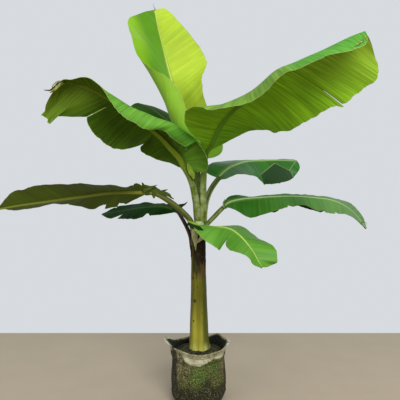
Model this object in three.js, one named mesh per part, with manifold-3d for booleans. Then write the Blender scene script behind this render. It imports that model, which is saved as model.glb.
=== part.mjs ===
// A young banana plant, about two metres tall, standing in a soft nursery grow bag.
// Sizes are in millimetres, Z is up, and the origin is the centre of the bag's flat underside.
// The leaves' near side is -Y. Each leaf runs along a route: its petiole first, then the midrib of its blade.
import * as THREE from "three";
import Module from "manifold-3d";

const wasm = await Module();
wasm.setup();

// Free space between two solids that meet.
const GAP = 0.3;

// The grow bag.
const BAG_BOTTOM_RADIUS = 98;
const BAG_SIDE_RADIUS = 136;
const BAG_NECK_RADIUS = 128;
const BAG_RIM_RADIUS = 134;
const BAG_WALL = 5;
const BAG_FLOOR = 5;
const BAG_FOOT_ROUND = 45;
const BAG_RIM_HEIGHT = 266;
const CUFF_LOW = 218;
const CUFF_BULGE = 5;
const LEFT_EAR = 36;
const RIGHT_EAR = 20;
const BACK_FOLD = 22;
const BACK_FOLD_ANGLE = 40;
const BAG_SEGMENTS = 32;

// The soil in the bag, with a level place under the stem's foot.
const SOIL_EDGE_HEIGHT = 232;
const SOIL_MIDDLE_HEIGHT = 247;
const SOIL_LEVEL_RADIUS = 72;

// The stem of wrapped leaf sheaths: centre, height and radius of each ring, foot first.
const STEM_RINGS = [
  { x: 5, y: 0, z: SOIL_MIDDLE_HEIGHT + GAP, r: 54 },
  { x: 5, y: 0, z: 268, r: 50 },
  { x: 5, y: 0, z: 310, r: 47 },
  { x: 4, y: 0, z: 400, r: 44 },
  { x: 3, y: 0, z: 560, r: 39 },
  { x: 0, y: 0, z: 700, r: 35 },
  { x: -1, y: 0, z: 780, r: 36 },
  { x: 2, y: -2, z: 840, r: 33 },
  { x: 5, y: -4, z: 880, r: 25 },
];
const STEM_SEGMENTS = 20;

// The leaves. Each value list is spread evenly from the blade's base to its tip.
// width: length of a vein from midrib to margin. sweep: its angle to the midrib, in degrees.
// lift and curl: how far it is raised out of the blade's plane at the midrib and at the margin, in degrees.
// bend: how late along a vein the curl comes, one value or a list. tear: where a split starts and what it does to its two sides.
const LEAVES = [
  {
    name: "top",
    petiole: [[10, 5, 868], [6, 18, 985], [1, 26, 1086]],
    rib: [[-9, 32, 1198], [-27, 40, 1276], [-45, 47, 1349], [-84, 59, 1454], [-115, 70, 1544],
      [-158, 82, 1683], [-179, 88, 1769], [-206, 95, 1876], [-225, 104, 1970], [-233, 125, 1996]],
    face: [0, -1, 0.15],
    foot: { wide: 20, deep: 17 },
    neck: 11,
    thick: 8.6,
    baseRound: 0.06,
    tipRound: 0.1,
    rows: 26,
    left: {
      width: [150, 235, 240, 205, 190, 170, 40],
      sweep: [90, 85, 78, 66, 60, 72, 84],
      lift: [40, 15, 15, 15, 25, 30, 10],
      curl: [200, 215, 205, 92, 32, 35, 15],
      bend: 1.4,
    },
    right: {
      width: [150, 140, 180, 205, 172, 112, 72],
      sweep: [105, 85, 78, 80, 78, 78, 105],
      lift: [-5, 25, 40, 20, 25, 30, 10],
      curl: [-5, 45, 50, 20, 25, 25, 5],
      bend: 1,
    },
  },
  {
    name: "upper_left",
    petiole: [[4, -4, 855], [-3, -12, 905], [-9, -21, 970], [-21, -33, 1034], [-39, -49, 1092]],
    rib: [[-65, -68, 1139], [-86, -80, 1184], [-133, -100, 1236], [-179, -120, 1285], [-246, -145, 1337],
      [-305, -165, 1375], [-395, -200, 1438], [-460, -225, 1472], [-516, -245, 1488], [-571, -262, 1494],
      [-623, -275, 1449]],
    face: [0, 0, 1],
    foot: { wide: 25, deep: 18 },
    neck: 15,
    thick: 7.6,
    baseRound: 0.09,
    tipRound: 0.05,
    rows: 28,
    left: {
      width: [170, 234, 232, 225, 205, 180, 150, 130, 110, 100, 84, 55, 20],
      sweep: [132, 84, 71, 75, 80, 77, 72, 68, 64, 63, 62, 66, 70],
      lift: [38, 79, 80, 66, 50, 40, 30, 18, 5, 22, 0, -5, 0],
      curl: [10, -135, -132, -130, -125, -118, -105, -60, -10, -15, -20, -15, -10],
      bend: [2.2, 1.7, 1.4, 1.3, 1.3, 1.3, 1.3, 1.3, 1.3, 1.3, 1.3, 1.3, 1.3],
      tears: [
        { at: 0.085, from: 0.3, turnBefore: 98, turnAfter: 0, reach: 0.035, cutBefore: 0.32, cutAfter: 0.03 },
      ],
    },
    right: {
      width: [60, 135, 215, 230, 264, 226, 134],
      sweep: [80, 88, 82, 76, 57, 62, 30],
      lift: [-10, -15, -25, -35, -55, -55, -10],
      curl: [-40, -45, -75, -80, -85, -90, -30],
      bend: 1,
      tears: [
        { at: 0.29, from: 0.3, turnBefore: 10, turnAfter: -25, reach: 0.05, cutBefore: 0.4, cutAfter: 0.6 },
        { at: 0.6, from: 0.35, turnBefore: -25, turnAfter: 15, reach: 0.09, cutBefore: 0.42, cutAfter: 0.42 },
      ],
    },
  },
  {
    name: "upper_right",
    petiole: [[11, -4, 855], [21, -14, 916], [24, -22, 985], [24, -32, 1049], [28, -48, 1122]],
    rib: [[40, -75, 1216], [66, -95, 1256], [97, -135, 1320], [135, -190, 1364], [167, -235, 1390],
      [194, -275, 1404], [237, -335, 1437], [282, -385, 1471], [322, -425, 1494], [378, -470, 1508],
      [465, -520, 1538], [552, -560, 1571], [592, -575, 1582]],
    face: [0, 0, 1],
    foot: { wide: 21, deep: 17 },
    neck: 13.5,
    thick: 9,
    baseRound: 0.06,
    tipRound: 0.06,
    rows: 28,
    left: {
      width: [60, 165, 215, 240, 265, 235, 135],
      sweep: [80, 93, 92, 84, 60, 58, 70],
      lift: [5, 5, -15, -35, -35, -40, -35],
      curl: [0, -10, -40, -65, -55, -55, -40],
      bend: 1,
      tears: [
        { at: 0.66, from: 0.42, turnBefore: -5, turnAfter: 3, reach: 0.07, cutBefore: -0.05, cutAfter: 0 },
      ],
    },
    right: {
      width: [60, 180, 215, 210, 220, 190, 100],
      sweep: [84, 94, 82, 75, 60, 70, 85],
      lift: [-5, 8, 0, -22, -15, -20, -30],
      curl: [20, 20, -30, -63, -45, -50, -60],
      bend: 1,
    },
  },
  {
    name: "back",
    petiole: [[1, 14, 874], [-4, 34, 960], [-19, 62, 1088]],
    rib: [[-65, 105, 1301], [-120, 150, 1373], [-196, 215, 1446], [-278, 290, 1513], [-359, 365, 1560]],
    face: [0, -0.3, 1],
    foot: { wide: 18, deep: 14 },
    neck: 9,
    thick: 6.5,
    baseRound: 0.08,
    tipRound: 0.2,
    rows: 16,
    left: {
      width: [80, 140, 150, 130, 60],
      sweep: [80, 70, 60, 50, 30],
      lift: [10, -10, -20, -20, -20],
      curl: [-10, -30, -30, -30, -30],
      bend: 1,
    },
    right: {
      width: [80, 140, 150, 130, 60],
      sweep: [80, 70, 60, 50, 30],
      lift: [0, 0, 0, 0, 0],
      curl: [-30, -30, -30, -30, -30],
      bend: 1,
    },
  },
  {
    name: "long_left",
    petiole: [[-11, -10, 786], [-37, -20, 881], [-75, -34, 926], [-127, -50, 970], [-184, -65, 1007]],
    rib: [[-222, -75, 1023], [-261, -85, 1025], [-327, -105, 1026], [-389, -125, 1024], [-432, -140, 1020],
      [-472, -152, 1014], [-534, -172, 1003], [-592, -190, 994], [-668, -215, 981], [-724, -235, 972],
      [-778, -255, 963], [-848, -280, 949]],
    face: [0, 0.35, 1],
    foot: { wide: 20, deep: 17 },
    neck: 13,
    thick: 7,
    baseRound: 0.06,
    tipRound: 0.2,
    rows: 20,
    left: {
      width: [60, 140, 160, 160, 150, 110, 45],
      sweep: [75, 80, 73, 66, 65, 65, 60],
      lift: [20, -5, 0, 5, 10, 15, 15],
      curl: [20, -15, -10, 5, 10, 15, 15],
      bend: 1,
    },
    right: {
      width: [60, 140, 160, 160, 145, 105, 45],
      sweep: [80, 85, 70, 58, 55, 50, 50],
      lift: [0, -10, -10, 5, 5, 5, 15],
      curl: [0, -10, -10, 15, 10, 5, 15],
      bend: 1,
    },
  },
  {
    name: "small_left",
    petiole: [[-11, 6, 674], [-30, 13, 743], [-39, 20, 801], [-57, 32, 844], [-81, 48, 888]],
    rib: [[-110, 62, 926], [-169, 90, 948], [-259, 140, 948], [-376, 195, 933], [-467, 235, 918],
      [-545, 265, 906]],
    face: [0, -0.2, 1],
    foot: { wide: 14, deep: 12 },
    neck: 9,
    thick: 5.5,
    baseRound: 0.06,
    tipRound: 0.2,
    rows: 16,
    left: {
      width: [40, 95, 100, 80, 30],
      sweep: [80, 85, 73, 60, 50],
      lift: [-20, -20, -20, -15, -10],
      curl: [-25, -25, -25, -15, -10],
      bend: 1,
    },
    right: {
      width: [40, 80, 95, 80, 30],
      sweep: [75, 65, 60, 45, 50],
      lift: [5, 5, 10, 15, 10],
      curl: [0, 5, 15, 25, 10],
      bend: 1,
    },
  },
  {
    name: "mid_right",
    petiole: [[19, 10, 804], [28, 20, 884], [37, 32, 965], [63, 48, 1036]],
    rib: [[107, 68, 1099], [156, 95, 1150], [206, 130, 1177], [260, 175, 1197], [357, 240, 1209],
      [470, 300, 1216], [581, 350, 1215]],
    face: [0, -0.4, 1],
    foot: { wide: 19, deep: 16 },
    neck: 13,
    thick: 6.5,
    baseRound: 0.06,
    tipRound: 0.08,
    rows: 18,
    left: {
      width: [100, 108, 130, 120, 50],
      sweep: [110, 90, 70, 55, 50],
      lift: [30, 0, -10, -10, -5],
      curl: [30, -10, -20, -15, -5],
      bend: 1,
    },
    right: {
      width: [65, 120, 150, 140, 66],
      sweep: [115, 95, 75, 66, 84],
      lift: [20, -10, -40, -40, -20],
      curl: [20, -25, -65, -60, -25],
      bend: 1,
      tears: [
        { at: 0.47, from: 0.3, turnBefore: -20, turnAfter: -28, reach: 0.1, cutBefore: -0.04, cutAfter: 0 },
      ],
    },
  },
  {
    name: "long_right",
    petiole: [[9, -4, 785], [36, -12, 856], [76, -20, 901]],
    rib: [[125, -30, 951], [151, -38, 973], [204, -50, 990], [307, -75, 1000], [422, -100, 1004],
      [525, -122, 999], [623, -138, 985], [684, -148, 955], [728, -153, 916], [772, -158, 856]],
    face: [0, -0.3, 1],
    foot: { wide: 18, deep: 15 },
    neck: 12.5,
    thick: 7.4,
    baseRound: 0.06,
    tipRound: 0.15,
    rows: 20,
    left: {
      width: [40, 90, 110, 115, 100, 80, 30],
      sweep: [80, 90, 85, 78, 72, 70, 60],
      lift: [20, -5, -10, -10, -10, 0, 10],
      curl: [20, -15, -15, -10, -10, 5, 10],
      bend: 1,
    },
    right: {
      width: [40, 110, 120, 110, 100, 80, 30],
      sweep: [90, 88, 85, 80, 78, 75, 60],
      lift: [-5, -30, -15, 0, -20, 0, 5],
      curl: [-5, -45, -25, -10, -30, -10, 5],
      bend: 1,
    },
  },
  {
    name: "front",
    petiole: [[14, -16, 772], [16, -32, 813], [19, -48, 844]],
    rib: [[33, -68, 862], [71, -92, 861], [126, -125, 857], [157, -152, 848], [184, -182, 829],
      [206, -208, 806], [226, -232, 779], [244, -252, 752], [259, -268, 722], [275, -276, 697]],
    face: [0, 0, 1],
    foot: { wide: 14, deep: 11 },
    neck: 7,
    thick: 5.5,
    baseRound: 0.08,
    tipRound: 0.12,
    rows: 18,
    left: {
      width: [40, 95, 120, 115, 75],
      sweep: [80, 78, 75, 60, 60],
      lift: [-10, 5, 0, 25, 20],
      curl: [-15, 0, -10, 25, 30],
      bend: 1,
    },
    right: {
      width: [85, 118, 124, 90, 45],
      sweep: [128, 88, 73, 60, 60],
      lift: [10, -35, -20, 10, 10],
      curl: [5, -55, -40, 5, 10],
      bend: 1,
      tears: [
        { at: 0.44, from: 0.62, turnBefore: -6, turnAfter: 8, reach: 0.12, cutBefore: 0.02, cutAfter: 0.42 },
      ],
    },
  },
];

// How far the blade's solid midrib runs back past the blade's base, to meet the petiole.
const RIB_STUB = 16;
// Midrib half width and depth below the blade, as shares of the petiole's neck.
const RIB_HALF_SHARE = 0.9;
const RIB_DEPTH_SHARE = 1.2;
const VEIN_STEPS = 24;
const ACROSS = 5;
const PETIOLE_SEGMENTS = 10;
const RAD = Math.PI / 180;

const leafGreen = { color: 0x6fae3a, roughness: 0.45 };
const youngGreen = { color: 0xa8d048, roughness: 0.4 };
const darkGreen = { color: 0x2f6a38, roughness: 0.4 };
const PAINTS = {
  top: youngGreen,
  front: leafGreen,
  upper_left: leafGreen,
  upper_right: leafGreen,
};

// Vectors as plain arrays of three numbers.
const add = (a, b, k = 1) => [a[0] + b[0] * k, a[1] + b[1] * k, a[2] + b[2] * k];
const dot = (a, b) => a[0] * b[0] + a[1] * b[1] + a[2] * b[2];
const cross = (a, b) => [a[1] * b[2] - a[2] * b[1], a[2] * b[0] - a[0] * b[2], a[0] * b[1] - a[1] * b[0]];
const unit = (a) => {
  const n = Math.hypot(...a) || 1;
  return [a[0] / n, a[1] / n, a[2] / n];
};
const clamp = (v, low, high) => Math.min(high, Math.max(low, v));
const smooth = (v) => {
  const c = clamp(v, 0, 1);
  return c * c * (3 - 2 * c);
};

// A smooth value at t, from 0 at the base to 1 at the tip, through values spread evenly between them.
function keyed(values, t) {
  const last = values.length - 1;
  const x = clamp(t, 0, 1) * last;
  const i = Math.min(Math.floor(x), last - 1);
  const f = x - i;
  const at = (k) => values[clamp(i + k, 0, last)];
  const m0 = (at(1) - at(-1)) / 2;
  const m1 = (at(2) - at(0)) / 2;
  const f2 = f * f;
  const f3 = f2 * f;
  return at(0) * (2 * f3 - 3 * f2 + 1) + m0 * (f3 - 2 * f2 + f) + at(1) * (3 * f2 - 2 * f3) + m1 * (f3 - f2);
}

// A smooth curve through the points, with its length up to each of them.
function routeOf(points) {
  const ends = [add(points[0], add(points[0], points[1], -1)), ...points];
  const n = points.length;
  ends.push(add(points[n - 1], add(points[n - 1], points[n - 2], -1)));
  const path = [];
  const knots = [];
  for (let k = 1; k < ends.length - 2; k++) {
    const [p0, p1, p2, p3] = ends.slice(k - 1, k + 3);
    const t0 = 0;
    const t1 = t0 + Math.sqrt(Math.hypot(...add(p1, p0, -1)));
    const t2 = t1 + Math.sqrt(Math.hypot(...add(p2, p1, -1)));
    const t3 = t2 + Math.sqrt(Math.hypot(...add(p3, p2, -1)));
    const between = (a, b, ta, tb, t) => a.map((v, i) => ((tb - t) * v + (t - ta) * b[i]) / (tb - ta));
    knots.push(path.length);
    for (let s = 0; s < 24; s++) {
      const t = t1 + ((t2 - t1) * s) / 24;
      const a1 = between(p0, p1, t0, t1, t);
      const a2 = between(p1, p2, t1, t2, t);
      const a3 = between(p2, p3, t2, t3, t);
      const b1 = between(a1, a2, t0, t2, t);
      const b2 = between(a2, a3, t1, t3, t);
      path.push(between(b1, b2, t1, t2, t));
    }
  }
  knots.push(path.length);
  path.push(points[n - 1]);
  const run = [0];
  for (let i = 1; i < path.length; i++) {
    run.push(run[i - 1] + Math.hypot(...add(path[i], path[i - 1], -1)));
  }
  return { path, run, length: run[run.length - 1], marks: knots.map((k) => run[k]) };
}

// The point and the direction of a route at a length along it.
function along(route, s) {
  const c = clamp(s, 0, route.length);
  let i = 1;
  while (i < route.run.length - 1 && route.run[i] < c) i++;
  const f = (c - route.run[i - 1]) / (route.run[i] - route.run[i - 1]);
  const p = add(route.path[i - 1], add(route.path[i], route.path[i - 1], -1), f);
  return p;
}
function heading(route, s) {
  const a = along(route, Math.max(0, s - 6));
  const b = along(route, Math.min(route.length, s + 6));
  return unit(add(b, a, -1));
}

// A leaf's route and its frame at a length along it: direction, upper side and left side.
function leafRoute(leaf) {
  const route = routeOf([...leaf.petiole, ...leaf.rib]);
  route.base = route.marks[leaf.petiole.length];
  const out = add(leaf.rib[0], leaf.petiole[0], -1);
  route.footFace = unit([-out[0], -out[1], 0.2 * Math.hypot(out[0], out[1])]);
  return route;
}
function frameAt(leaf, route, s) {
  const tangent = heading(route, s);
  const share = smooth(s / route.base);
  const face = add(route.footFace.map((v) => v * (1 - share)), unit(leaf.face), share);
  const up = unit(add(face, tangent, -dot(face, tangent)));
  return { origin: along(route, s), tangent, up, left: cross(up, tangent) };
}

// The share of the full vein length that is left by the rounded base and the rounded tip.
function roundedEnds(leaf, t) {
  const b = clamp(t / leaf.baseRound, 0, 1);
  const e = clamp((1 - t) / leaf.tipRound, 0, 1);
  return Math.sqrt(1 - (1 - b) ** 2) * Math.sqrt(1 - (1 - e) ** 2);
}

// The points of one vein, midrib first, with the blade's upper direction at each of them.
function vein(leaf, half, side, frame, t, ribHalf) {
  let width = keyed(half.width, t) * roundedEnds(leaf, t);
  for (const tear of half.tears ?? []) {
    const away = Math.exp(-Math.abs(t - tear.at) / tear.reach);
    width *= 1 - (t < tear.at ? tear.cutBefore : tear.cutAfter) * away;
  }
  width = Math.max(width, ribHalf * 1.6);
  const sweep = keyed(half.sweep, t) * RAD;
  const lift = keyed(half.lift, t) * RAD;
  const bend = Array.isArray(half.bend) ? keyed(half.bend, t) : half.bend;
  const most = width / (12 * bend);
  const turn = clamp(keyed(half.curl, t) * RAD - lift, -most, most);
  const angleAt = (q) => {
    let angle = lift + turn * q ** bend;
    for (const tear of half.tears ?? []) {
      const away = Math.exp(-Math.abs(t - tear.at) / tear.reach);
      const part = clamp((q - tear.from) / (1 - tear.from), 0, 1);
      angle += (t < tear.at ? tear.turnBefore : tear.turnAfter) * RAD * away * part;
    }
    return angle;
  };
  const points = [{ p: frame.origin, up: upAt(lift) }];
  function upAt(angle) {
    return add(frame.up.map((v) => v * Math.cos(angle)), frame.left, -side * Math.sin(angle));
  }
  let p = frame.origin;
  for (let k = 1; k <= VEIN_STEPS; k++) {
    const angle = angleAt((k - 0.5) / VEIN_STEPS);
    const outward = add(frame.left.map((v) => v * side * Math.cos(angle)), frame.up, Math.sin(angle));
    const step = add(frame.tangent.map((v) => v * Math.cos(sweep)), outward, Math.sin(sweep));
    p = add(p, step, width / VEIN_STEPS);
    points.push({ p, up: upAt(angleAt(k / VEIN_STEPS)) });
  }
  return { points, width };
}
function onVein(line, q) {
  const x = clamp(q, 0, 1) * VEIN_STEPS;
  const i = Math.min(Math.floor(x), VEIN_STEPS - 1);
  const a = line.points[i];
  const b = line.points[i + 1];
  return { p: add(a.p, add(b.p, a.p, -1), x - i), up: unit(add(a.up, add(b.up, a.up, -1), x - i)) };
}

// The blade's rows: lengths along the midrib, closer at both ends, and a pair of rows at each tear.
function rowsOf(leaf) {
  const rows = [];
  for (let i = 0; i <= leaf.rows; i++) {
    const x = i / leaf.rows;
    rows.push(0.5 * x + 0.25 * (1 - Math.cos(Math.PI * x)));
  }
  const tears = [...(leaf.left.tears ?? []), ...(leaf.right.tears ?? [])];
  for (const tear of tears) {
    const near = rows.findIndex((t) => Math.abs(t - tear.at) < 0.5 / leaf.rows);
    if (near >= 0) rows.splice(near, 1);
    rows.push(tear.at - 0.004, tear.at + 0.004);
  }
  return rows.sort((a, b) => a - b);
}

// A leaf blade as one closed solid: a thin sheet with the midrib thicker on its underside.
function bladeSolid(leaf) {
  const route = leafRoute(leaf);
  const bladeLength = route.length - route.base;
  const rows = [-RIB_STUB / bladeLength, ...rowsOf(leaf)];
  const top = [];
  const low = [];
  for (const t of rows) {
    const frame = frameAt(leaf, route, route.base + t * bladeLength);
    const fade = 1 - 0.65 * clamp(t, 0, 1);
    const ribHalf = leaf.neck * RIB_HALF_SHARE * fade;
    const ribDepth = leaf.neck * RIB_DEPTH_SHARE * fade;
    const rowTop = [];
    const rowLow = [];
    const halfRow = (half, side) => {
      const line = t < 0
        ? vein({ ...leaf, baseRound: 1e-9 }, { ...half, width: [0, 0], sweep: [90, 90], lift: [0, 0],
          curl: [0, 0], tears: [] }, side, frame, 0, ribHalf)
        : vein(leaf, half, side, frame, t, ribHalf);
      const first = clamp(ribHalf / line.width, 0, 0.7);
      const out = [];
      for (let j = 1; j <= ACROSS; j++) {
        const q = first + ((1 - first) * (j - 1)) / (ACROSS - 1);
        out.push({ ...onVein(line, q), thick: leaf.thick * (j === ACROSS ? 0.8 : 1) });
      }
      return out;
    };
    const leftRow = halfRow(leaf.left, 1);
    const rightRow = halfRow(leaf.right, -1);
    const middle = { p: frame.origin, up: frame.up, thick: leaf.thick, depth: ribDepth };
    for (const v of [...leftRow.reverse(), middle, ...rightRow]) {
      rowTop.push(add(v.p, v.up, v.thick / 2));
      rowLow.push(add(v.p, v.up, -v.thick / 2 - (v.depth ?? 0)));
    }
    top.push(rowTop);
    low.push(rowLow);
  }
  const cut = (i, j) => {
    const isLeft = j < ACROSS;
    const half = isLeft ? leaf.left : leaf.right;
    const out = isLeft ? ACROSS - 1 - j : j - ACROSS;
    for (const tear of half.tears ?? []) {
      if (Math.abs(rows[i] - (tear.at - 0.004)) < 1e-6 && out / ACROSS >= tear.from) return true;
    }
    return false;
  };
  return thickened(top, low, cut);
}

// A closed mesh between an upper and a lower grid of points, without the cells that cut names.
function thickened(top, low, cut) {
  const n = top.length;
  const m = top[0].length;
  const positions = [];
  for (const grid of [top, low]) {
    for (const row of grid) {
      for (const p of row) positions.push(...p);
    }
  }
  const upper = (i, j) => i * m + j;
  const lower = (i, j) => n * m + i * m + j;
  const kept = (i, j) => i >= 0 && j >= 0 && i < n - 1 && j < m - 1 && !cut(i, j);
  const faces = [];
  const quad = (a, b, c, d) => faces.push(a, b, c, a, c, d);
  for (let i = 0; i < n - 1; i++) {
    for (let j = 0; j < m - 1; j++) {
      if (!kept(i, j)) continue;
      quad(upper(i, j), upper(i, j + 1), upper(i + 1, j + 1), upper(i + 1, j));
      quad(lower(i, j), lower(i + 1, j), lower(i + 1, j + 1), lower(i, j + 1));
      if (!kept(i - 1, j)) quad(lower(i, j), lower(i, j + 1), upper(i, j + 1), upper(i, j));
      if (!kept(i + 1, j)) quad(lower(i + 1, j + 1), lower(i + 1, j), upper(i + 1, j), upper(i + 1, j + 1));
      if (!kept(i, j - 1)) quad(lower(i + 1, j), lower(i, j), upper(i, j), upper(i + 1, j));
      if (!kept(i, j + 1)) quad(lower(i, j + 1), lower(i + 1, j + 1), upper(i + 1, j + 1), upper(i, j + 1));
    }
  }
  return geometryOf(positions, faces);
}

function geometryOf(positions, faces) {
  const geometry = new THREE.BufferGeometry();
  geometry.setAttribute("position", new THREE.BufferAttribute(new Float32Array(positions), 3));
  geometry.setIndex(faces);
  return geometry;
}

// A closed tube through rings of points, each ring running the same way round, the ends closed flat.
function tubeSolid(rings) {
  const m = rings[0].length;
  const positions = rings.flat(2);
  const faces = [];
  for (let i = 0; i < rings.length - 1; i++) {
    for (let j = 0; j < m; j++) {
      const a = i * m + j;
      const b = i * m + ((j + 1) % m);
      faces.push(a, b, b + m, a, b + m, a + m);
    }
  }
  const lastRing = (rings.length - 1) * m;
  for (let j = 1; j < m - 1; j++) {
    faces.push(0, j + 1, j);
    faces.push(lastRing, lastRing + j, lastRing + j + 1);
  }
  return geometryOf(positions, faces);
}

// A petiole: an oval tube that narrows from its foot in the stem to the neck at the blade's midrib.
function petioleRings(leaf, grow) {
  const route = leafRoute(leaf);
  const end = route.base - RIB_STUB - GAP + grow;
  const count = Math.max(6, Math.round(end / 32));
  const rings = [];
  for (let i = 0; i <= count; i++) {
    const s = (end * i) / count;
    const frame = frameAt(leaf, route, s);
    if (i === 0) frame.origin = add(frame.origin, frame.tangent, -grow);
    const share = s / end;
    const wide = leaf.foot.wide * (1 - share) + leaf.neck * share + grow;
    const deep = leaf.foot.deep * (1 - share) + leaf.neck * share + grow;
    const ring = [];
    for (let j = 0; j < PETIOLE_SEGMENTS; j++) {
      const angle = (2 * Math.PI * j) / PETIOLE_SEGMENTS;
      const across = add(frame.origin, frame.left, -wide * Math.cos(angle));
      ring.push(add(across, frame.up, -deep * Math.sin(angle)));
    }
    rings.push(ring);
  }
  return rings;
}

function stemRings(grow) {
  return STEM_RINGS.map(({ x, y, z, r }, i) => {
    const ring = [];
    const raise = i === STEM_RINGS.length - 1 ? grow : 0;
    for (let j = 0; j < STEM_SEGMENTS; j++) {
      const angle = (2 * Math.PI * j) / STEM_SEGMENTS;
      ring.push([x + (r + grow) * Math.cos(angle), y + (r + grow) * Math.sin(angle), z + raise]);
    }
    return ring;
  });
}

// The bag's outer radius at an angle and a height: rounded foot, soft sides, folded cuff and the two ears.
function bagRadius(angle, z, wall = 0) {
  const below = clamp((BAG_FOOT_ROUND - z) / (BAG_FOOT_ROUND - wall), 0, 1);
  const round = Math.sqrt(1 - below * below);
  const foot = BAG_BOTTOM_RADIUS + (BAG_SIDE_RADIUS - BAG_BOTTOM_RADIUS - wall) * round;
  const neck = (BAG_SIDE_RADIUS - BAG_NECK_RADIUS) * smooth((z - 110) / (CUFF_LOW - 110));
  const soft = 1.6 * Math.sin(3 * angle + 0.6) * smooth(z / 60) + 1.1 * Math.sin(5 * angle + z / 40);
  return foot - neck + soft * smooth(z / 20);
}
function earAt(angle) {
  const left = Math.exp(-(((Math.abs(angle - Math.PI) * 180) / Math.PI / 17) ** 2));
  const toRight = Math.min(angle, 2 * Math.PI - angle);
  const right = Math.exp(-(((toRight * 180) / Math.PI / 17) ** 2));
  return LEFT_EAR * left + RIGHT_EAR * right;
}
function rimHeight(angle) {
  const ears = (28 * earAt(angle)) / LEFT_EAR;
  const fold = BACK_FOLD * Math.exp(-((((angle * 180) / Math.PI - BACK_FOLD_ANGLE) / 18) ** 2));
  return BAG_RIM_HEIGHT + ears + fold + 4 * Math.sin(2 * angle + 0.5) + 3 * Math.sin(5 * angle);
}

const bagAngles = Array.from({ length: BAG_SEGMENTS }, (_, j) => (2 * Math.PI * j) / BAG_SEGMENTS);
const ringAt = (radius, height) => bagAngles.map((a) => [
  radius(a) * Math.cos(a), radius(a) * Math.sin(a), height(a),
]);

// The bag: an open shell, outer side first, over the rim and down the inner side to the floor.
function bagSolid() {
  const flare = (a) => BAG_RIM_RADIUS - BAG_NECK_RADIUS + earAt(a);
  const rings = [
    ringAt((a) => bagRadius(a, 0), () => 0),
    ...[5, 13, 26, 45, 110, 160, CUFF_LOW - 6].map((z) => ringAt((a) => bagRadius(a, z), () => z)),
    ringAt((a) => bagRadius(a, CUFF_LOW) + CUFF_BULGE, () => CUFF_LOW),
    ringAt((a) => bagRadius(a, CUFF_LOW) + CUFF_BULGE + 1, () => CUFF_LOW + 18),
    ringAt((a) => bagRadius(a, CUFF_LOW) + CUFF_BULGE + 0.45 * flare(a), (a) => rimHeight(a) - 12),
    ringAt((a) => bagRadius(a, CUFF_LOW) + 3 + flare(a), (a) => rimHeight(a) - 2),
    ringAt((a) => bagRadius(a, CUFF_LOW) - 2 + flare(a), (a) => rimHeight(a)),
    ringAt((a) => bagRadius(a, CUFF_LOW) - 2 * BAG_WALL + 0.45 * flare(a), (a) => rimHeight(a) - 10),
    ringAt((a) => bagRadius(a, CUFF_LOW, BAG_WALL), () => SOIL_EDGE_HEIGHT),
    ...[160, 110, 45, 26, 13, BAG_FLOOR].map((z) => ringAt((a) => bagRadius(a, z, BAG_WALL), () => z)),
  ];
  return tubeSolid(rings);
}

// The soil: fills the bag to its level, a little higher round the stem.
function soilSolid() {
  const inside = (z) => (a) => bagRadius(a, z, BAG_WALL + 4 * GAP);
  const lump = (a) => 3 * Math.sin(4 * a + 1) + 2 * Math.sin(7 * a);
  const rings = [
    ringAt((a) => bagRadius(a, BAG_FLOOR, BAG_WALL) - 1, () => BAG_FLOOR + GAP),
    ...[13, 26, 45, 110, 160].map((z) => ringAt(inside(z), () => z)),
    ringAt(inside(CUFF_LOW), () => SOIL_EDGE_HEIGHT - 2),
    ringAt(() => 104, (a) => SOIL_EDGE_HEIGHT + 6 + lump(a)),
    ringAt(() => SOIL_LEVEL_RADIUS, () => SOIL_MIDDLE_HEIGHT),
  ];
  return tubeSolid(rings);
}

// Cutting with manifold-3d: a geometry as a manifold, and back as a mesh geometry.
function asManifold(geometry) {
  return new wasm.Manifold(new wasm.Mesh({
    numProp: 3,
    vertProperties: new Float32Array(geometry.getAttribute("position").array),
    triVerts: new Uint32Array(geometry.index.array),
  }));
}
function asGeometry(solid) {
  const mesh = solid.getMesh();
  return geometryOf(Array.from(mesh.vertProperties), Array.from(mesh.triVerts));
}
// The largest of the bodies that a cut leaves.
function largest(solid) {
  return solid.decompose().sort((a, b) => b.volume() - a.volume())[0];
}

const group = new THREE.Group();
function addNode(name, geometry, paint) {
  const mesh = new THREE.Mesh(geometry, new THREE.MeshStandardMaterial({ ...paint, metalness: 0 }));
  mesh.name = name;
  group.add(mesh);
}

addNode("grow_bag", bagSolid(), { color: 0xb9b196, roughness: 0.9 });
addNode("soil", soilSolid(), { color: 0x2b2119, roughness: 1 });
addNode("stem", tubeSolid(stemRings(0)), { color: 0x8a8f35, roughness: 0.6 });

// Each petiole is cut back to leave a gap to the stem and to the petioles before it.
const grown = [asManifold(tubeSolid(stemRings(GAP)))];
for (const leaf of LEAVES) {
  let solid = asManifold(tubeSolid(petioleRings(leaf, 0)));
  for (const other of grown) solid = solid.subtract(other);
  addNode(`petiole_${leaf.name}`, asGeometry(largest(solid)), { color: 0x9aa64a, roughness: 0.5 });
  grown.push(asManifold(tubeSolid(petioleRings(leaf, GAP))));
}

for (const leaf of LEAVES) {
  addNode(`leaf_${leaf.name}`, bladeSolid(leaf), PAINTS[leaf.name] ?? darkGreen);
}

export default group;
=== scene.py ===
# A young banana plant in a soft grow bag: its visible surfaces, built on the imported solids.
# Sizes below are in millimetres in the part's own frame, and become metres when a mesh is made.
import math
from collections import namedtuple

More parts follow.
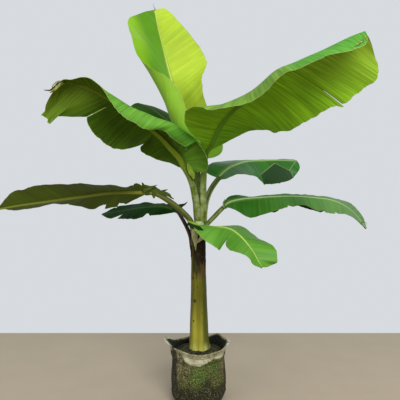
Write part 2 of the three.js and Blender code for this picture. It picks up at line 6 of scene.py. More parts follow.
import bpy
import numpy as np
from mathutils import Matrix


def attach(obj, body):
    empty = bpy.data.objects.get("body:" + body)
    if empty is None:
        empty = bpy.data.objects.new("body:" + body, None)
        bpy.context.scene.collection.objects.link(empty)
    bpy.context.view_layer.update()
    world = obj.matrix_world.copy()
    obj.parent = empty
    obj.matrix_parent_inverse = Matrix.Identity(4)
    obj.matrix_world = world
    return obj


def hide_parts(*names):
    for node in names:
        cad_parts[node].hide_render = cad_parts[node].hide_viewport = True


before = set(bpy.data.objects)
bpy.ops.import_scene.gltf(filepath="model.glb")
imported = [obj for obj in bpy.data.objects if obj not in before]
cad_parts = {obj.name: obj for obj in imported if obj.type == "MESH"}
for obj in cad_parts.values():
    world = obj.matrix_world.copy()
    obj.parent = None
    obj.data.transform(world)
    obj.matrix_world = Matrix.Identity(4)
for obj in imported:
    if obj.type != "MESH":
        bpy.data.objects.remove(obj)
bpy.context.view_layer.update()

MM = 0.001
FINE = 1.0

# A leaf: points along its petiole and along its midrib, the way its upper side faces, half the petiole's
# width and its depth at the foot, the one measure for both at the neck, and how much of the blade its rounded
# base and tip take, as shares of its length.
Leaf = namedtuple("Leaf", "name petiole rib face foot neck base_round tip_round left right")

# Half a blade, by lists that run from its base to its tip: the length of the veins, then in degrees their
# angle to the midrib and their lift at the midrib and at the margin. bend is how late they turn to the last.
Half = namedtuple("Half", "width sweep lift curl bend tears", defaults=(1, ()))

# A tear: its place along the blade, the share of the vein where it starts, the turn in degrees before and
# after it, how far along the blade it reaches, and the shares of the width cut off before and after it.
Tear = namedtuple("Tear", "at start turn_before turn_after reach cut_before cut_after")

# The leaves, with the same values as the part's solids.
LEAVES = [
    Leaf("top",
         petiole=[(10, 5, 868), (6, 18, 985), (1, 26, 1086)],
         rib=[(-9, 32, 1198), (-27, 40, 1276), (-45, 47, 1349), (-84, 59, 1454), (-115, 70, 1544),
              (-158, 82, 1683), (-179, 88, 1769), (-206, 95, 1876), (-225, 104, 1970), (-233, 125, 1996)],
         face=(0, -1, 0.15), foot=(20, 17), neck=11, base_round=0.06, tip_round=0.1,
         left=Half([150, 235, 240, 205, 190, 170, 40], [90, 85, 78, 66, 60, 72, 84],
                   [40, 15, 15, 15, 25, 30, 10], [200, 215, 205, 92, 32, 35, 15], 1.4),
         right=Half([150, 140, 180, 205, 172, 112, 72], [105, 85, 78, 80, 78, 78, 105],
                    [-5, 25, 40, 20, 25, 30, 10], [-5, 45, 50, 20, 25, 25, 5])),
    Leaf("upper_left",
         petiole=[(4, -4, 855), (-3, -12, 905), (-9, -21, 970), (-21, -33, 1034), (-39, -49, 1092)],
         rib=[(-65, -68, 1139), (-86, -80, 1184), (-133, -100, 1236), (-179, -120, 1285),
              (-246, -145, 1337), (-305, -165, 1375), (-395, -200, 1438), (-460, -225, 1472),
              (-516, -245, 1488), (-571, -262, 1494), (-623, -275, 1449)],
         face=(0, 0, 1), foot=(25, 18), neck=15, base_round=0.09, tip_round=0.05,
         left=Half([170, 234, 232, 225, 205, 180, 150, 130, 110, 100, 84, 55, 20],
                   [132, 84, 71, 75, 80, 77, 72, 68, 64, 63, 62, 66, 70],
                   [38, 79, 80, 66, 50, 40, 30, 18, 5, 22, 0, -5, 0],
                   [10, -135, -132, -130, -125, -118, -105, -60, -10, -15, -20, -15, -10],
                   [2.2, 1.7, 1.4, 1.3, 1.3, 1.3, 1.3, 1.3, 1.3, 1.3, 1.3, 1.3, 1.3],
                   tears=[Tear(0.085, 0.3, 98, 0, 0.035, 0.32, 0.03)]),
         right=Half([60, 135, 215, 230, 264, 226, 134], [80, 88, 82, 76, 57, 62, 30],
                    [-10, -15, -25, -35, -55, -55, -10], [-40, -45, -75, -80, -85, -90, -30],
                    tears=[Tear(0.29, 0.3, 10, -25, 0.05, 0.4, 0.6),
                           Tear(0.6, 0.35, -25, 15, 0.09, 0.42, 0.42)])),
    Leaf("upper_right",
         petiole=[(11, -4, 855), (21, -14, 916), (24, -22, 985), (24, -32, 1049), (28, -48, 1122)],
         rib=[(40, -75, 1216), (66, -95, 1256), (97, -135, 1320), (135, -190, 1364), (167, -235, 1390),
              (194, -275, 1404), (237, -335, 1437), (282, -385, 1471), (322, -425, 1494), (378, -470, 1508),
              (465, -520, 1538), (552, -560, 1571), (592, -575, 1582)],
         face=(0, 0, 1), foot=(21, 17), neck=13.5, base_round=0.06, tip_round=0.06,
         left=Half([60, 165, 215, 240, 265, 235, 135], [80, 93, 92, 84, 60, 58, 70],
                   [5, 5, -15, -35, -35, -40, -35], [0, -10, -40, -65, -55, -55, -40],
                   tears=[Tear(0.66, 0.42, -5, 3, 0.07, -0.05, 0)]),
         right=Half([60, 180, 215, 210, 220, 190, 100], [84, 94, 82, 75, 60, 70, 85],
                    [-5, 8, 0, -22, -15, -20, -30], [20, 20, -30, -63, -45, -50, -60])),
    Leaf("back",
         petiole=[(1, 14, 874), (-4, 34, 960), (-19, 62, 1088)],
         rib=[(-65, 105, 1301), (-120, 150, 1373), (-196, 215, 1446), (-278, 290, 1513), (-359, 365, 1560)],
         face=(0, -0.3, 1), foot=(18, 14), neck=9, base_round=0.08, tip_round=0.2,
         left=Half([80, 140, 150, 130, 60], [80, 70, 60, 50, 30], [10, -10, -20, -20, -20],
                   [-10, -30, -30, -30, -30]),
         right=Half([80, 140, 150, 130, 60], [80, 70, 60, 50, 30], [0, 0, 0, 0, 0],
                    [-30, -30, -30, -30, -30])),
    Leaf("long_left",
         petiole=[(-11, -10, 786), (-37, -20, 881), (-75, -34, 926), (-127, -50, 970), (-184, -65, 1007)],
         rib=[(-222, -75, 1023), (-261, -85, 1025), (-327, -105, 1026), (-389, -125, 1024),
              (-432, -140, 1020), (-472, -152, 1014), (-534, -172, 1003), (-592, -190, 994),
              (-668, -215, 981), (-724, -235, 972), (-778, -255, 963), (-848, -280, 949)],
         face=(0, 0.35, 1), foot=(20, 17), neck=13, base_round=0.06, tip_round=0.2,
         left=Half([60, 140, 160, 160, 150, 110, 45], [75, 80, 73, 66, 65, 65, 60],
                   [20, -5, 0, 5, 10, 15, 15], [20, -15, -10, 5, 10, 15, 15]),
         right=Half([60, 140, 160, 160, 145, 105, 45], [80, 85, 70, 58, 55, 50, 50],
                    [0, -10, -10, 5, 5, 5, 15], [0, -10, -10, 15, 10, 5, 15])),
    Leaf("small_left",
         petiole=[(-11, 6, 674), (-30, 13, 743), (-39, 20, 801), (-57, 32, 844), (-81, 48, 888)],
         rib=[(-110, 62, 926), (-169, 90, 948), (-259, 140, 948), (-376, 195, 933), (-467, 235, 918),
              (-545, 265, 906)],
         face=(0, -0.2, 1), foot=(14, 12), neck=9, base_round=0.06, tip_round=0.2,
         left=Half([40, 95, 100, 80, 30], [80, 85, 73, 60, 50], [-20, -20, -20, -15, -10],
                   [-25, -25, -25, -15, -10]),
         right=Half([40, 80, 95, 80, 30], [75, 65, 60, 45, 50], [5, 5, 10, 15, 10], [0, 5, 15, 25, 10])),
    Leaf("mid_right",
         petiole=[(19, 10, 804), (28, 20, 884), (37, 32, 965), (63, 48, 1036)],
         rib=[(107, 68, 1099), (156, 95, 1150), (206, 130, 1177), (260, 175, 1197), (357, 240, 1209),
              (470, 300, 1216), (581, 350, 1215)],
         face=(0, -0.4, 1), foot=(19, 16), neck=13, base_round=0.06, tip_round=0.08,
         left=Half([100, 108, 130, 120, 50], [110, 90, 70, 55, 50], [30, 0, -10, -10, -5],
                   [30, -10, -20, -15, -5]),
         right=Half([65, 120, 150, 140, 66], [115, 95, 75, 66, 84], [20, -10, -40, -40, -20],
                    [20, -25, -65, -60, -25], tears=[Tear(0.47, 0.3, -20, -28, 0.1, -0.04, 0)])),
    Leaf("long_right",
         petiole=[(9, -4, 785), (36, -12, 856), (76, -20, 901)],
         rib=[(125, -30, 951), (151, -38, 973), (204, -50, 990), (307, -75, 1000), (422, -100, 1004),
              (525, -122, 999), (623, -138, 985), (684, -148, 955), (728, -153, 916), (772, -158, 856)],
         face=(0, -0.3, 1), foot=(18, 15), neck=12.5, base_round=0.06, tip_round=0.15,
         left=Half([40, 90, 110, 115, 100, 80, 30], [80, 90, 85, 78, 72, 70, 60],
                   [20, -5, -10, -10, -10, 0, 10], [20, -15, -15, -10, -10, 5, 10]),
         right=Half([40, 110, 120, 110, 100, 80, 30], [90, 88, 85, 80, 78, 75, 60],
                    [-5, -30, -15, 0, -20, 0, 5], [-5, -45, -25, -10, -30, -10, 5])),
    Leaf("front",
         petiole=[(14, -16, 772), (16, -32, 813), (19, -48, 844)],
         rib=[(33, -68, 862), (71, -92, 861), (126, -125, 857), (157, -152, 848), (184, -182, 829),
              (206, -208, 806), (226, -232, 779), (244, -252, 752), (259, -268, 722), (275, -276, 697)],
         face=(0, 0, 1), foot=(14, 11), neck=7, base_round=0.08, tip_round=0.12,
         left=Half([40, 95, 120, 115, 75], [80, 78, 75, 60, 60], [-10, 5, 0, 25, 20],
                   [-15, 0, -10, 25, 30]),
         right=Half([85, 118, 124, 90, 45], [128, 88, 73, 60, 60], [10, -35, -20, 10, 10],
                    [5, -55, -40, 5, 10], tears=[Tear(0.44, 0.62, -6, 8, 0.12, 0.02, 0.42)])),
]

# The midrib's stub behind the blade, and its half width and depth as shares of the petiole's neck.
RIB_STUB = 16
RIB_HALF_SHARE = 0.9
RIB_DEPTH_SHARE = 1.2

# The stem of wrapped sheaths: x, y, z and radius of each ring, foot first.
STEM_RINGS = [
    (5, 0, 247.3, 54), (5, 0, 268, 50), (5, 0, 310, 47), (4, 0, 400, 44), (3, 0, 560, 39),
    (0, 0, 700, 35), (-1, 0, 780, 36), (2, -2, 840, 33), (5, -4, 880, 25),
]

# The grow bag and the soil in it.
BAG_BOTTOM_RADIUS = 98
BAG_SIDE_RADIUS = 136
BAG_NECK_RADIUS = 128
BAG_RIM_RADIUS = 134
BAG_WALL = 5
BAG_FOOT_ROUND = 45
BAG_RIM_HEIGHT = 266
CUFF_LOW = 218
LEFT_EAR = 36
RIGHT_EAR = 20
BACK_FOLD = 22
BACK_FOLD_ANGLE = 40
SOIL_EDGE_HEIGHT = 232
SOIL_MIDDLE_HEIGHT = 247

# Steps of the finer meshes. The columns over the midrib are shares of its half width.
BLADE_STEP = 3.2
VEIN_STEPS = 48
RIB_COLUMNS = np.array([0.28, 0.52, 0.74, 0.9, 1.0, 1.15])
OUTER_COLUMNS = 26
PETIOLE_STEP = 4
PETIOLE_POINTS = 36
RIBBON_STEP = 2.5
RIBBON_COLUMNS = 9
STEM_ROWS, STEM_COLUMNS = 200, 144
BAG_ROWS, BAG_COLUMNS = 62, 216
SOIL_ROWS, SOIL_COLUMNS = 60, 120
# Half the width of a tear's slit.
SLIT_HALF = 0.8
# Radii that turn an angle round the bag or the stem into a length along its surface.
BAG_RUN = 132
STEM_RUN = 40
# Period of the bag's weave, and the gap that a rolled mesh is sewn up across, in metres.
THREAD = 0.0030
SEW_GAP = 0.00002

# Each leaf's look. Colours are as seen on a screen. Where nothing else is said, a place is in metres from
# the blade's base.
# slot, seed: the surface's slot, and the number that its random forms start from.
# upper, shade: the upper side's light and deep tone. under: the underside. rib: the midrib.
# glow, lit: what the underside turns to where light comes through, and from where to where it turns.
# lobe: the underside's left base. beyond: the upper side's outer tone, from where to where, and how much.
# left_shade, left_rim_shade: painted shade, as shader values that the upper side's left half and its margin
# are multiplied by.
# foot_tone: the blade's base, and from where to where it fades. rib_edge: where the midrib's tone ends, as a
# share of its half width. rib_highlight: a painted highlight on the underside, along the midrib's left
# margin.
# ribbed: strength of the veins' lines. lines: how close they are. slant: how far the left ones lean.
# edge: the margin. dry: how far brown runs in from the margin and from the tip, in millimetres.
# gloss: the upper side's roughness. shine: reflection, which is at most 0.1 on the underside.
# wave: turn of the margin in degrees, and its wavelength in millimetres. pleat: height of the folds.
# bites: torn notches, and lobes: smooth ones, by place, run along the blade and depth, all as shares.
# seams: for each tear, from which share of the vein a line shows, and from which it is open. A line is a dark
# painted shadow, or pale in the margin's tone where its share is negative. A share of 2 is nowhere.
# fold: a turned-over tip, painted on the upper side, its turned part dark as painted shade: its half, and its
# line in millimetres along and out.
PALE_EDGE = (164, 186, 104)
BROWN_EDGE = (112, 84, 46)
LOOKS = {
    "top": dict(
        slot="leaf_young", seed=11, upper=(178, 200, 58), shade=(164, 192, 48), under=(122, 162, 44),
        rib=(190, 206, 92), glow=(122, 156, 66), lit=(0.38, 0.5), left_shade=(0.19, 0.39, 0.06, 1),
        left_rim_shade=(0.44, 0.67, 0.25, 1), foot_tone=((112, 172, 44), 0.1, 0.17), rib_edge=0.8, slant=1.2,
        edge=PALE_EDGE, shine=0.16, wave=(3, 170), pleat=0.3,
    ),
    "upper_left": dict(
        slot="leaf", seed=12, upper=(91, 142, 43), shade=(70, 126, 30), under=(57, 84, 6),
        rib=(104, 124, 26), glow=(82, 106, 18), lit=(0.45, 0.62), lobe=(80, 122, 26), rib_edge=0.9,
        ribbed=2.5, edge=PALE_EDGE, dry=(1.5, 6), gloss=0.56, shine=0.12, wave=(3, 120), pleat=0.45,
        bites=dict(left=[(0.9, 0.05, 0.5), (0.96, 0.03, 0.5)], right=[(0.83, 0.03, 0.06)]),
        seams=dict(left=[(2, 0.3)], right=[(2, 0.85), (-0.32, 0.8)]),
    ),
    "upper_right": dict(
        slot="leaf", seed=13, upper=(116, 150, 56), shade=(92, 132, 38), under=(118, 166, 24),
        rib=(92, 130, 26), glow=(132, 160, 46), lit=(0.45, 1.0), lobe=(98, 148, 20),
        beyond=((64, 138, 36), 0.5, 0.62, 0.8), rib_edge=0.9, rib_highlight=(176, 196, 84), ribbed=2.5,
        lines=165, edge=PALE_EDGE, dry=(1.5, 4), gloss=0.56, shine=0.12, wave=(4, 130), pleat=0.45,
        lobes=dict(left=[(0.3, 0.03, 0.02), (0.385, 0.022, 0.05), (0.5, 0.03, 0.02)]),
        seams=dict(left=[(0.1, 0.66)]),
    ),
    "back": dict(
        slot="leaf_old", seed=14, upper=(46, 86, 14), shade=(32, 68, 8), under=(38, 74, 10),
        rib=(90, 110, 50), edge=BROWN_EDGE, shine=0.03, wave=(4, 110), pleat=0.9,
    ),
    "long_left": dict(
        slot="leaf_old", seed=15, upper=(46, 84, 22), shade=(30, 62, 14), under=(70, 88, 20),
        rib=(120, 128, 42), glow=(82, 102, 30), lit=(0.2, 0.6), ribbed=1.3, edge=BROWN_EDGE, dry=(3, 10),
        wave=(5, 110), pleat=0.8,
        bites=dict(left=[(0.0, 0.05, 0.5), (0.06, 0.04, 0.35), (0.12, 0.03, 0.2)],
                   right=[(0.02, 0.05, 0.55), (0.2, -0.05, 0.28), (0.27, 0.05, 0.3), (0.47, 0.04, 0.12)]),
    ),
    "small_left": dict(
        slot="leaf_old", seed=16, upper=(14, 52, 6), shade=(8, 38, 4), under=(18, 48, 8), rib=(56, 80, 28),
        edge=BROWN_EDGE, dry=(2.5, 10), shine=0.02, wave=(9, 100), pleat=1.0,
        bites=dict(left=[(0.3, -0.08, 0.4), (0.62, 0.08, 0.45)],
                   right=[(0.15, 0.05, 0.3), (0.75, 0.04, 0.2)]),
    ),
    "mid_right": dict(
        slot="leaf_old", seed=17, upper=(52, 116, 22), shade=(26, 84, 16), under=(28, 66, 20),
        rib=(150, 180, 100), rib_edge=0.55, edge=(140, 160, 90), dry=(2, 8), gloss=0.26, wave=(6, 120),
        pleat=1.3, seams=dict(right=[(2, 2)]),
        fold=("right", [(263, 92), (404, 25), (472, 78), (565, 12)]),
    ),
    "long_right": dict(
        slot="leaf_old", seed=18, upper=(58, 108, 24), shade=(28, 80, 10), under=(44, 84, 24),
        rib=(150, 180, 110), beyond=((116, 146, 92), 0.34, 0.52, 0.35), rib_edge=0.6, edge=BROWN_EDGE,
        dry=(2, 14), shine=0.15, wave=(7, 95), pleat=1.3,
        bites=dict(right=[(0.42, 0.03, 0.12), (0.64, -0.03, 0.15), (0.72, 0.02, 0.12)]),
    ),
    "front": dict(
        slot="leaf", seed=19, upper=(92, 143, 43), shade=(70, 124, 30), under=(46, 80, 20),
        rib=(176, 200, 96), rib_edge=0.8, edge=PALE_EDGE, dry=(1.5, 8), wave=(4, 110), pleat=0.7,
    ),
}


# Shape helpers.

def tone(red, green, blue):
    """A colour as seen on a screen, turned into the linear values that a shader takes."""
    shares = [value / 255 for value in (red, green, blue)]
    return (*[s / 12.92 if s <= 0.04045 else ((s + 0.055) / 1.055) ** 2.4 for s in shares], 1.0)


def scaled(color, share):
    return tuple(min(255, value * share) for value in color)


def unit(vectors):
    lengths = np.linalg.norm(vectors, axis=-1, keepdims=True)
    return vectors / np.maximum(lengths, 1e-9)


def smooth(value):
    share = np.clip(value, 0, 1)
    return share * share * (3 - 2 * share)


def round_points(radius, angle, z, x=0, y=0):
    """Points at a radius, an angle and a height round an upright line."""
    return np.stack(np.broadcast_arrays(x + radius * np.cos(angle), y + radius * np.sin(angle), z), -1)


def keyed(values, t):
    """A smooth value at t, from 0 at the base to 1 at the tip, through values spread evenly between them."""
    values = np.asarray(values, float)
    last = len(values) - 1
    x = np.clip(np.asarray(t, float), 0, 1) * last
    i = np.minimum(np.floor(x).astype(int), last - 1)
    f = x - i
    before, here, after, beyond = (values[np.clip(i + k, 0, last)] for k in (-1, 0, 1, 2))
    m0 = (after - before) / 2
    m1 = (beyond - here) / 2
    return (here * (2 * f**3 - 3 * f**2 + 1) + m0 * (f**3 - 2 * f**2 + f)
            + after * (3 * f**2 - 2 * f**3) + m1 * (f**3 - f**2))


def uneven(seed, x, spacing):
    """A smooth random value between -1 and 1 that changes once for each spacing along x."""
    count = 4096
    x = np.asarray(x, float) / spacing
    heights = np.random.default_rng(seed).uniform(-1, 1, count)
    i = np.floor(x).astype(int)
    f = smooth(x - i)
    return heights[i % count] * (1 - f) + heights[(i + 1) % count] * f


class Route:
    """A smooth curve through points, with its length up to each of them."""

    def __init__(self, points):
        points = np.asarray(points, float)
        ends = np.vstack([2 * points[0] - points[1], points, 2 * points[-1] - points[-2]])
        steps = 24
        path = []
        knots = []
        for k in range(1, len(ends) - 2):
            p0, p1, p2, p3 = ends[k - 1:k + 3]
            t0 = 0.0
            t1 = t0 + np.linalg.norm(p1 - p0) ** 0.5
            t2 = t1 + np.linalg.norm(p2 - p1) ** 0.5
            t3 = t2 + np.linalg.norm(p3 - p2) ** 0.5
            knots.append(len(path))
            for t in t1 + (t2 - t1) * np.arange(steps) / steps:
                a1 = ((t1 - t) * p0 + (t - t0) * p1) / (t1 - t0)
                a2 = ((t2 - t) * p1 + (t - t1) * p2) / (t2 - t1)
                a3 = ((t3 - t) * p2 + (t - t2) * p3) / (t3 - t2)
                b1 = ((t2 - t) * a1 + (t - t0) * a2) / (t2 - t0)
                b2 = ((t3 - t) * a2 + (t - t1) * a3) / (t3 - t1)
                path.append(((t2 - t) * b1 + (t - t1) * b2) / (t2 - t1))
        knots.append(len(path))
        path.append(points[-1])
        self.path = np.array(path)
        lengths = np.linalg.norm(np.diff(self.path, axis=0), axis=1)
        self.run = np.concatenate([[0], np.cumsum(lengths)])
        self.length = self.run[-1]
        self.marks = self.run[knots]

    def at(self, s):
        return np.stack([np.interp(s, self.run, self.path[:, k]) for k in range(3)], -1)

    def heading(self, s):
        reach = 6
        ahead = np.minimum(s + reach, self.length)
        return unit(self.at(ahead) - self.at(np.maximum(s - reach, 0)))


def leaf_route(leaf):
    route = Route([*leaf.petiole, *leaf.rib])
    route.base = route.marks[len(leaf.petiole)]
    out = np.subtract(leaf.rib[0], leaf.petiole[0])
    route.foot_face = unit(np.array([-out[0], -out[1], 0.2 * math.hypot(out[0], out[1])]))
    return route


def frames_at(leaf, route, s):
    """Places along a leaf's route, each with its direction, upper side and left side."""
    tangent = route.heading(s)
    share = smooth(s / route.base)[:, None]
    face = route.foot_face * (1 - share) + unit(np.asarray(leaf.face, float)) * share
    up = unit(face - (face * tangent).sum(1, keepdims=True) * tangent)
    return {"origin": route.at(s), "tangent": tangent, "up": up, "left": np.cross(up, tangent)}


def rounded_ends(leaf, t):
    base = np.clip(t / leaf.base_round, 0, 1)
    tip = np.clip((1 - t) / leaf.tip_round, 0, 1)
    return np.sqrt(1 - (1 - base) ** 2) * np.sqrt(1 - (1 - tip) ** 2)


def blade_rows(leaf, length):
    """Places along the midrib, closer at both ends, with a narrow pair of rows at each tear."""
    x = np.linspace(0, 1, int(length / BLADE_STEP * FINE) + 1)
    rows = 0.55 * x + 0.225 * (1 - np.cos(math.pi * x))
    slit = SLIT_HALF / length
    for tear in (*leaf.left.tears, *leaf.right.tears):
        rows = rows[np.abs(rows - tear.at) > 1.5 * slit]
        rows = np.concatenate([rows, [tear.at - slit, tear.at + slit]])
    return np.sort(rows)


def veins(leaf, side, frames, t, rib_half, look, length):
    """The veins of one half of a blade: points from the midrib out, upper directions, and lengths."""
    half, half_name = (leaf.left, "left") if side > 0 else (leaf.right, "right")
    width = keyed(half.width, t) * rounded_ends(leaf, t)
    torn = []
    for tear in half.tears:
        away = np.exp(-np.abs(t - tear.at) / tear.reach)
        before = t < tear.at
        width = width * (1 - np.where(before, tear.cut_before, tear.cut_after) * away)
        torn.append((tear.start, np.radians(np.where(before, tear.turn_before, tear.turn_after)) * away))
    width = np.maximum(width, rib_half * 1.6)
    sweep = np.radians(keyed(half.sweep, t))[:, None]
    lift = np.radians(keyed(half.lift, t))
    bend = keyed(half.bend, t) if isinstance(half.bend, list) else half.bend
    most = width / (12 * bend)
    turn = np.clip(np.radians(keyed(half.curl, t)) - lift, -most, most)
    along = t * length
    degrees, wavelength = look["wave"]
    amount = math.radians(degrees)
    seed = look["seed"] * 10 + (3 if side > 0 else 7)
    wave = amount * uneven(seed, along, wavelength / 2)
    wave = wave + 0.35 * amount * uneven(seed + 1, along, wavelength / 5)

    # The margin: a little uneven, with torn bites and smooth lobes.
    edge = width * (1 + 0.012 * uneven(seed + 2, along, 14) + 0.006 * uneven(seed + 4, along, 4))
    ragged = 1 + 0.25 * uneven(seed + 5, along, 5)
    for at, run, depth in look.get("bites", {}).get(half_name, []):
        x = (t - at) / run
        edge = edge * np.where((x >= 0) & (x < 1), 1 - depth * ragged * (1 - np.clip(x, 0, 1)) ** 0.8, 1)
    for at, run, depth in look.get("lobes", {}).get(half_name, []):
        edge = edge * (1 - depth * np.exp(-(((t - at) / run) ** 2)))
    edge = np.clip(edge, rib_half * 1.5, None)

    def angle_at(q):
        angle = lift + turn * q**bend + wave * q**1.5
        for start, bent in torn:
            angle = angle + bent * np.clip((q - start) / (1 - start), 0, 1)
        return angle[:, None]

    def up_at(angle):
        return frames["up"] * np.cos(angle) - side * frames["left"] * np.sin(angle)

    place = frames["origin"].copy()
    points = [place]
    ups = [up_at(angle_at(0.0))]
    for k in range(1, VEIN_STEPS + 1):
        angle = angle_at((k - 0.5) / VEIN_STEPS)
        outward = side * frames["left"] * np.cos(angle) + frames["up"] * np.sin(angle)
        step = frames["tangent"] * np.cos(sweep) + outward * np.sin(sweep)
        place = place + step * (width / VEIN_STEPS)[:, None]
        points.append(place)
        ups.append(up_at(angle_at(k / VEIN_STEPS)))
    return np.stack(points, 1), np.stack(ups, 1), width, edge


def half_grid(leaf, side, frames, t, rib_half, look, length):
    """Half a blade as a grid: points, upper directions, distances from midrib and margin, vein shares."""
    points, ups, width, edge = veins(leaf, side, frames, t, rib_half, look, length)
    near = RIB_COLUMNS[None, :] * rib_half[:, None]
    x = np.linspace(0, 1, int(OUTER_COLUMNS * FINE) + 1)[1:]
    x = 0.75 * x + 0.25 * np.sin(x * math.pi / 2)
    far = near[:, -1:] + (edge[:, None] - near[:, -1:]) * x[None, :]
    distance = np.concatenate([near, far], 1)
    q = np.clip(distance / width[:, None], 0, 1.04)
    i = np.minimum(np.clip(q * VEIN_STEPS, 0, VEIN_STEPS).astype(int), VEIN_STEPS - 1)
    f = (q * VEIN_STEPS - i)[..., None]
    row = np.arange(len(t))[:, None]
    place = points[row, i] * (1 - f) + points[row, i + 1] * f
    f = np.clip(f, 0, 1)
    up = unit(ups[row, i] * (1 - f) + ups[row, i + 1] * f)
    return place, up, distance, edge[:, None] - distance, q


def new_mesh(name, points, faces, materials, attributes, sharp, slots=None):
    """A mesh object at the origin from points in millimetres and faces of four corners."""
    mesh = bpy.data.meshes.new(name)
    mesh.vertices.add(len(points))
    mesh.vertices.foreach_set("co", (points * MM).astype(np.float32).ravel())
    mesh.loops.add(faces.size)
    mesh.loops.foreach_set("vertex_index", faces.astype(np.int32).ravel())
    mesh.polygons.add(len(faces))
    mesh.polygons.foreach_set("loop_start", np.arange(0, faces.size, 4, dtype=np.int32))
    if slots is not None:
        mesh.polygons.foreach_set("material_index", slots.astype(np.int32))
    mesh.polygons.foreach_set("use_smooth", np.ones(len(faces), bool))
    mesh.update(calc_edges=True)
    for key, values in attributes.items():
        layer = mesh.attributes.new(key, "FLOAT", "POINT")
        layer.data.foreach_set("value", values.astype(np.float32).ravel())
    for material in materials:
        mesh.materials.append(material)
    piece = bpy.data.objects.new(name, mesh)
    bpy.context.scene.collection.objects.link(piece)
    bpy.ops.object.select_all(action="DESELECT")
    bpy.context.view_layer.objects.active = piece
    piece.select_set(True)
    bpy.ops.object.shade_smooth_by_angle(angle=math.radians(sharp))
    piece.select_set(False)
    return piece


def closed_sheet(name, upper, lower, kept, materials, attributes, sharp=70):
    """A closed thin sheet between an upper and a lower grid, without the cells that aren't kept. Seen from
    above, with rows that run away, the columns run from left to right."""
    n, m = upper.shape[:2]
    ids = np.arange(n * m).reshape(n, m)
    a, b, c, d = ids[:-1, :-1], ids[:-1, 1:], ids[1:, 1:], ids[1:, :-1]
    low = n * m
    faces = [np.stack([a, b, c, d], -1)[kept], np.stack([a, d, c, b], -1)[kept] + low]
    around = np.pad(kept, 1)
    for open_side, first, second in (
        (~around[:-2, 1:-1], a, b), (~around[2:, 1:-1], c, d),
        (~around[1:-1, :-2], d, a), (~around[1:-1, 2:], b, c),
    ):
        edge = kept & open_side
        p, r = first[edge], second[edge]
        faces.append(np.stack([p + low, r + low, r, p], -1))
    # The upper side takes the first material, and all else the second.
    slots = np.ones(sum(len(part) for part in faces), int)
    slots[:len(faces[0])] = 0
    doubled = {key: np.concatenate([values.ravel()] * 2) for key, values in attributes.items()}
    points = np.concatenate([upper.reshape(-1, 3), lower.reshape(-1, 3)])
    return new_mesh(name, points, np.concatenate(faces), materials, doubled, sharp, slots)


def blade(leaf, materials):
    """A leaf blade: a thin closed sheet with a channelled midrib that stands out below it."""
    look = LOOKS[leaf.name]
    route = leaf_route(leaf)
    length = route.length - route.base
    t = blade_rows(leaf, length)
    frames = frames_at(leaf, route, route.base + t * length)
    fade = 1 - 0.65 * t
    rib_half = leaf.neck * RIB_HALF_SHARE * fade
    rib_depth = (leaf.neck * RIB_DEPTH_SHARE * fade)[:, None]
    left = half_grid(leaf, 1, frames, t, rib_half, look, length)
    right = half_grid(leaf, -1, frames, t, rib_half, look, length)
    rib_half = rib_half[:, None]
    zero = np.zeros((len(t), 1))
    middle = (frames["origin"][:, None], frames["up"][:, None], zero,
              np.minimum(left[3][:, :1], right[3][:, :1]), zero)
    place, up, distance, to_edge, q = (
        np.concatenate([left[k][:, ::-1], middle[k], right[k]], 1) for k in range(5)
    )
    middle_column = left[2].shape[1]
    side = np.concatenate([np.ones(middle_column), [0], -np.ones(right[2].shape[1])])
    along = (t * length)[:, None] * np.ones_like(distance)

    # Folds along the veins, the channel on top and the ridge below.
    seed = look["seed"]
    off_rib = smooth((distance - rib_half) / 30)
    fold = 0.28 * uneven(seed, along + 100 * side, 10) + 0.35 * uneven(seed + 40, along + 70 * side, 26)
    fold = fold * look["pleat"] * off_rib * (0.5 + 0.5 * smooth(distance / 90))
    share = np.clip(distance / rib_half, 0, 1)
    channel = 0.32 * rib_depth * (1 - share**2) ** 2
    ridge = rib_depth * np.sqrt(1 - share**2) * 0.98
    thick = 0.55 + 0.5 * np.exp(-distance / 40)
    top = place + up * (fold + thick - channel)[..., None]
    low = place + up * (fold - thick - ridge)[..., None]

    columns = np.arange(distance.shape[1] - 1)
    kept = np.ones((len(t) - 1, len(columns)), bool)
    crease = np.zeros_like(distance)
    for half, here, outer, on_half, half_name in (
        (leaf.left, columns < middle_column, q[:, :-1], side > 0, "left"),
        (leaf.right, columns >= middle_column, q[:, 1:], side < 0, "right"),
    ):
        seams = look.get("seams", {}).get(half_name, [])
        for k, tear in enumerate(half.tears):
            line_from, open_from = seams[k] if k < len(seams) else (2, tear.start)
            row = int(np.argmin(np.abs(t - (tear.at - SLIT_HALF / length))))
            kept[row] &= ~(here & (outer[row] >= open_from))
            on_line = (q[row:row + 2] >= abs(line_from)) & on_half
            crease[row:row + 2] += on_line * (1 if line_from > 0 else -1)

    edge_dry, tip_dry = look.get("dry", (1, 5))
    rough_edge = 1 + 0.7 * uneven(seed + 60, along + 900 * (side > 0), 22)
    values = {
        "along": along * MM, "across": side * distance * MM, "rib": distance / rib_half,
        "dry": 1 - smooth(to_edge / (edge_dry * rough_edge + 0.3)),
        "tip_dry": 1 - smooth((length - along) / (tip_dry * rough_edge + 0.3)),
        "crease": crease, "folded": np.full_like(distance, -1.0), "fold_dark": np.zeros_like(distance),
    }
    if "fold" in look:
        fold_side, line = look["fold"]
        places, depths = np.array(line, float).T
        beyond = distance - np.interp(t * length, places, depths)[:, None]
        on_half = side > 0 if fold_side == "left" else side < 0
        on_fold = on_half & (along > places[0] - 4) & (along < places[-1] + 4)
        values["folded"] = np.where(on_fold, beyond * MM, -1.0)
        values["fold_dark"] = np.where(on_fold & (along < places[2]), 1.0, 0.0)
    return closed_sheet(f"blade_{leaf.name}", top, low, kept, materials, values, 60)


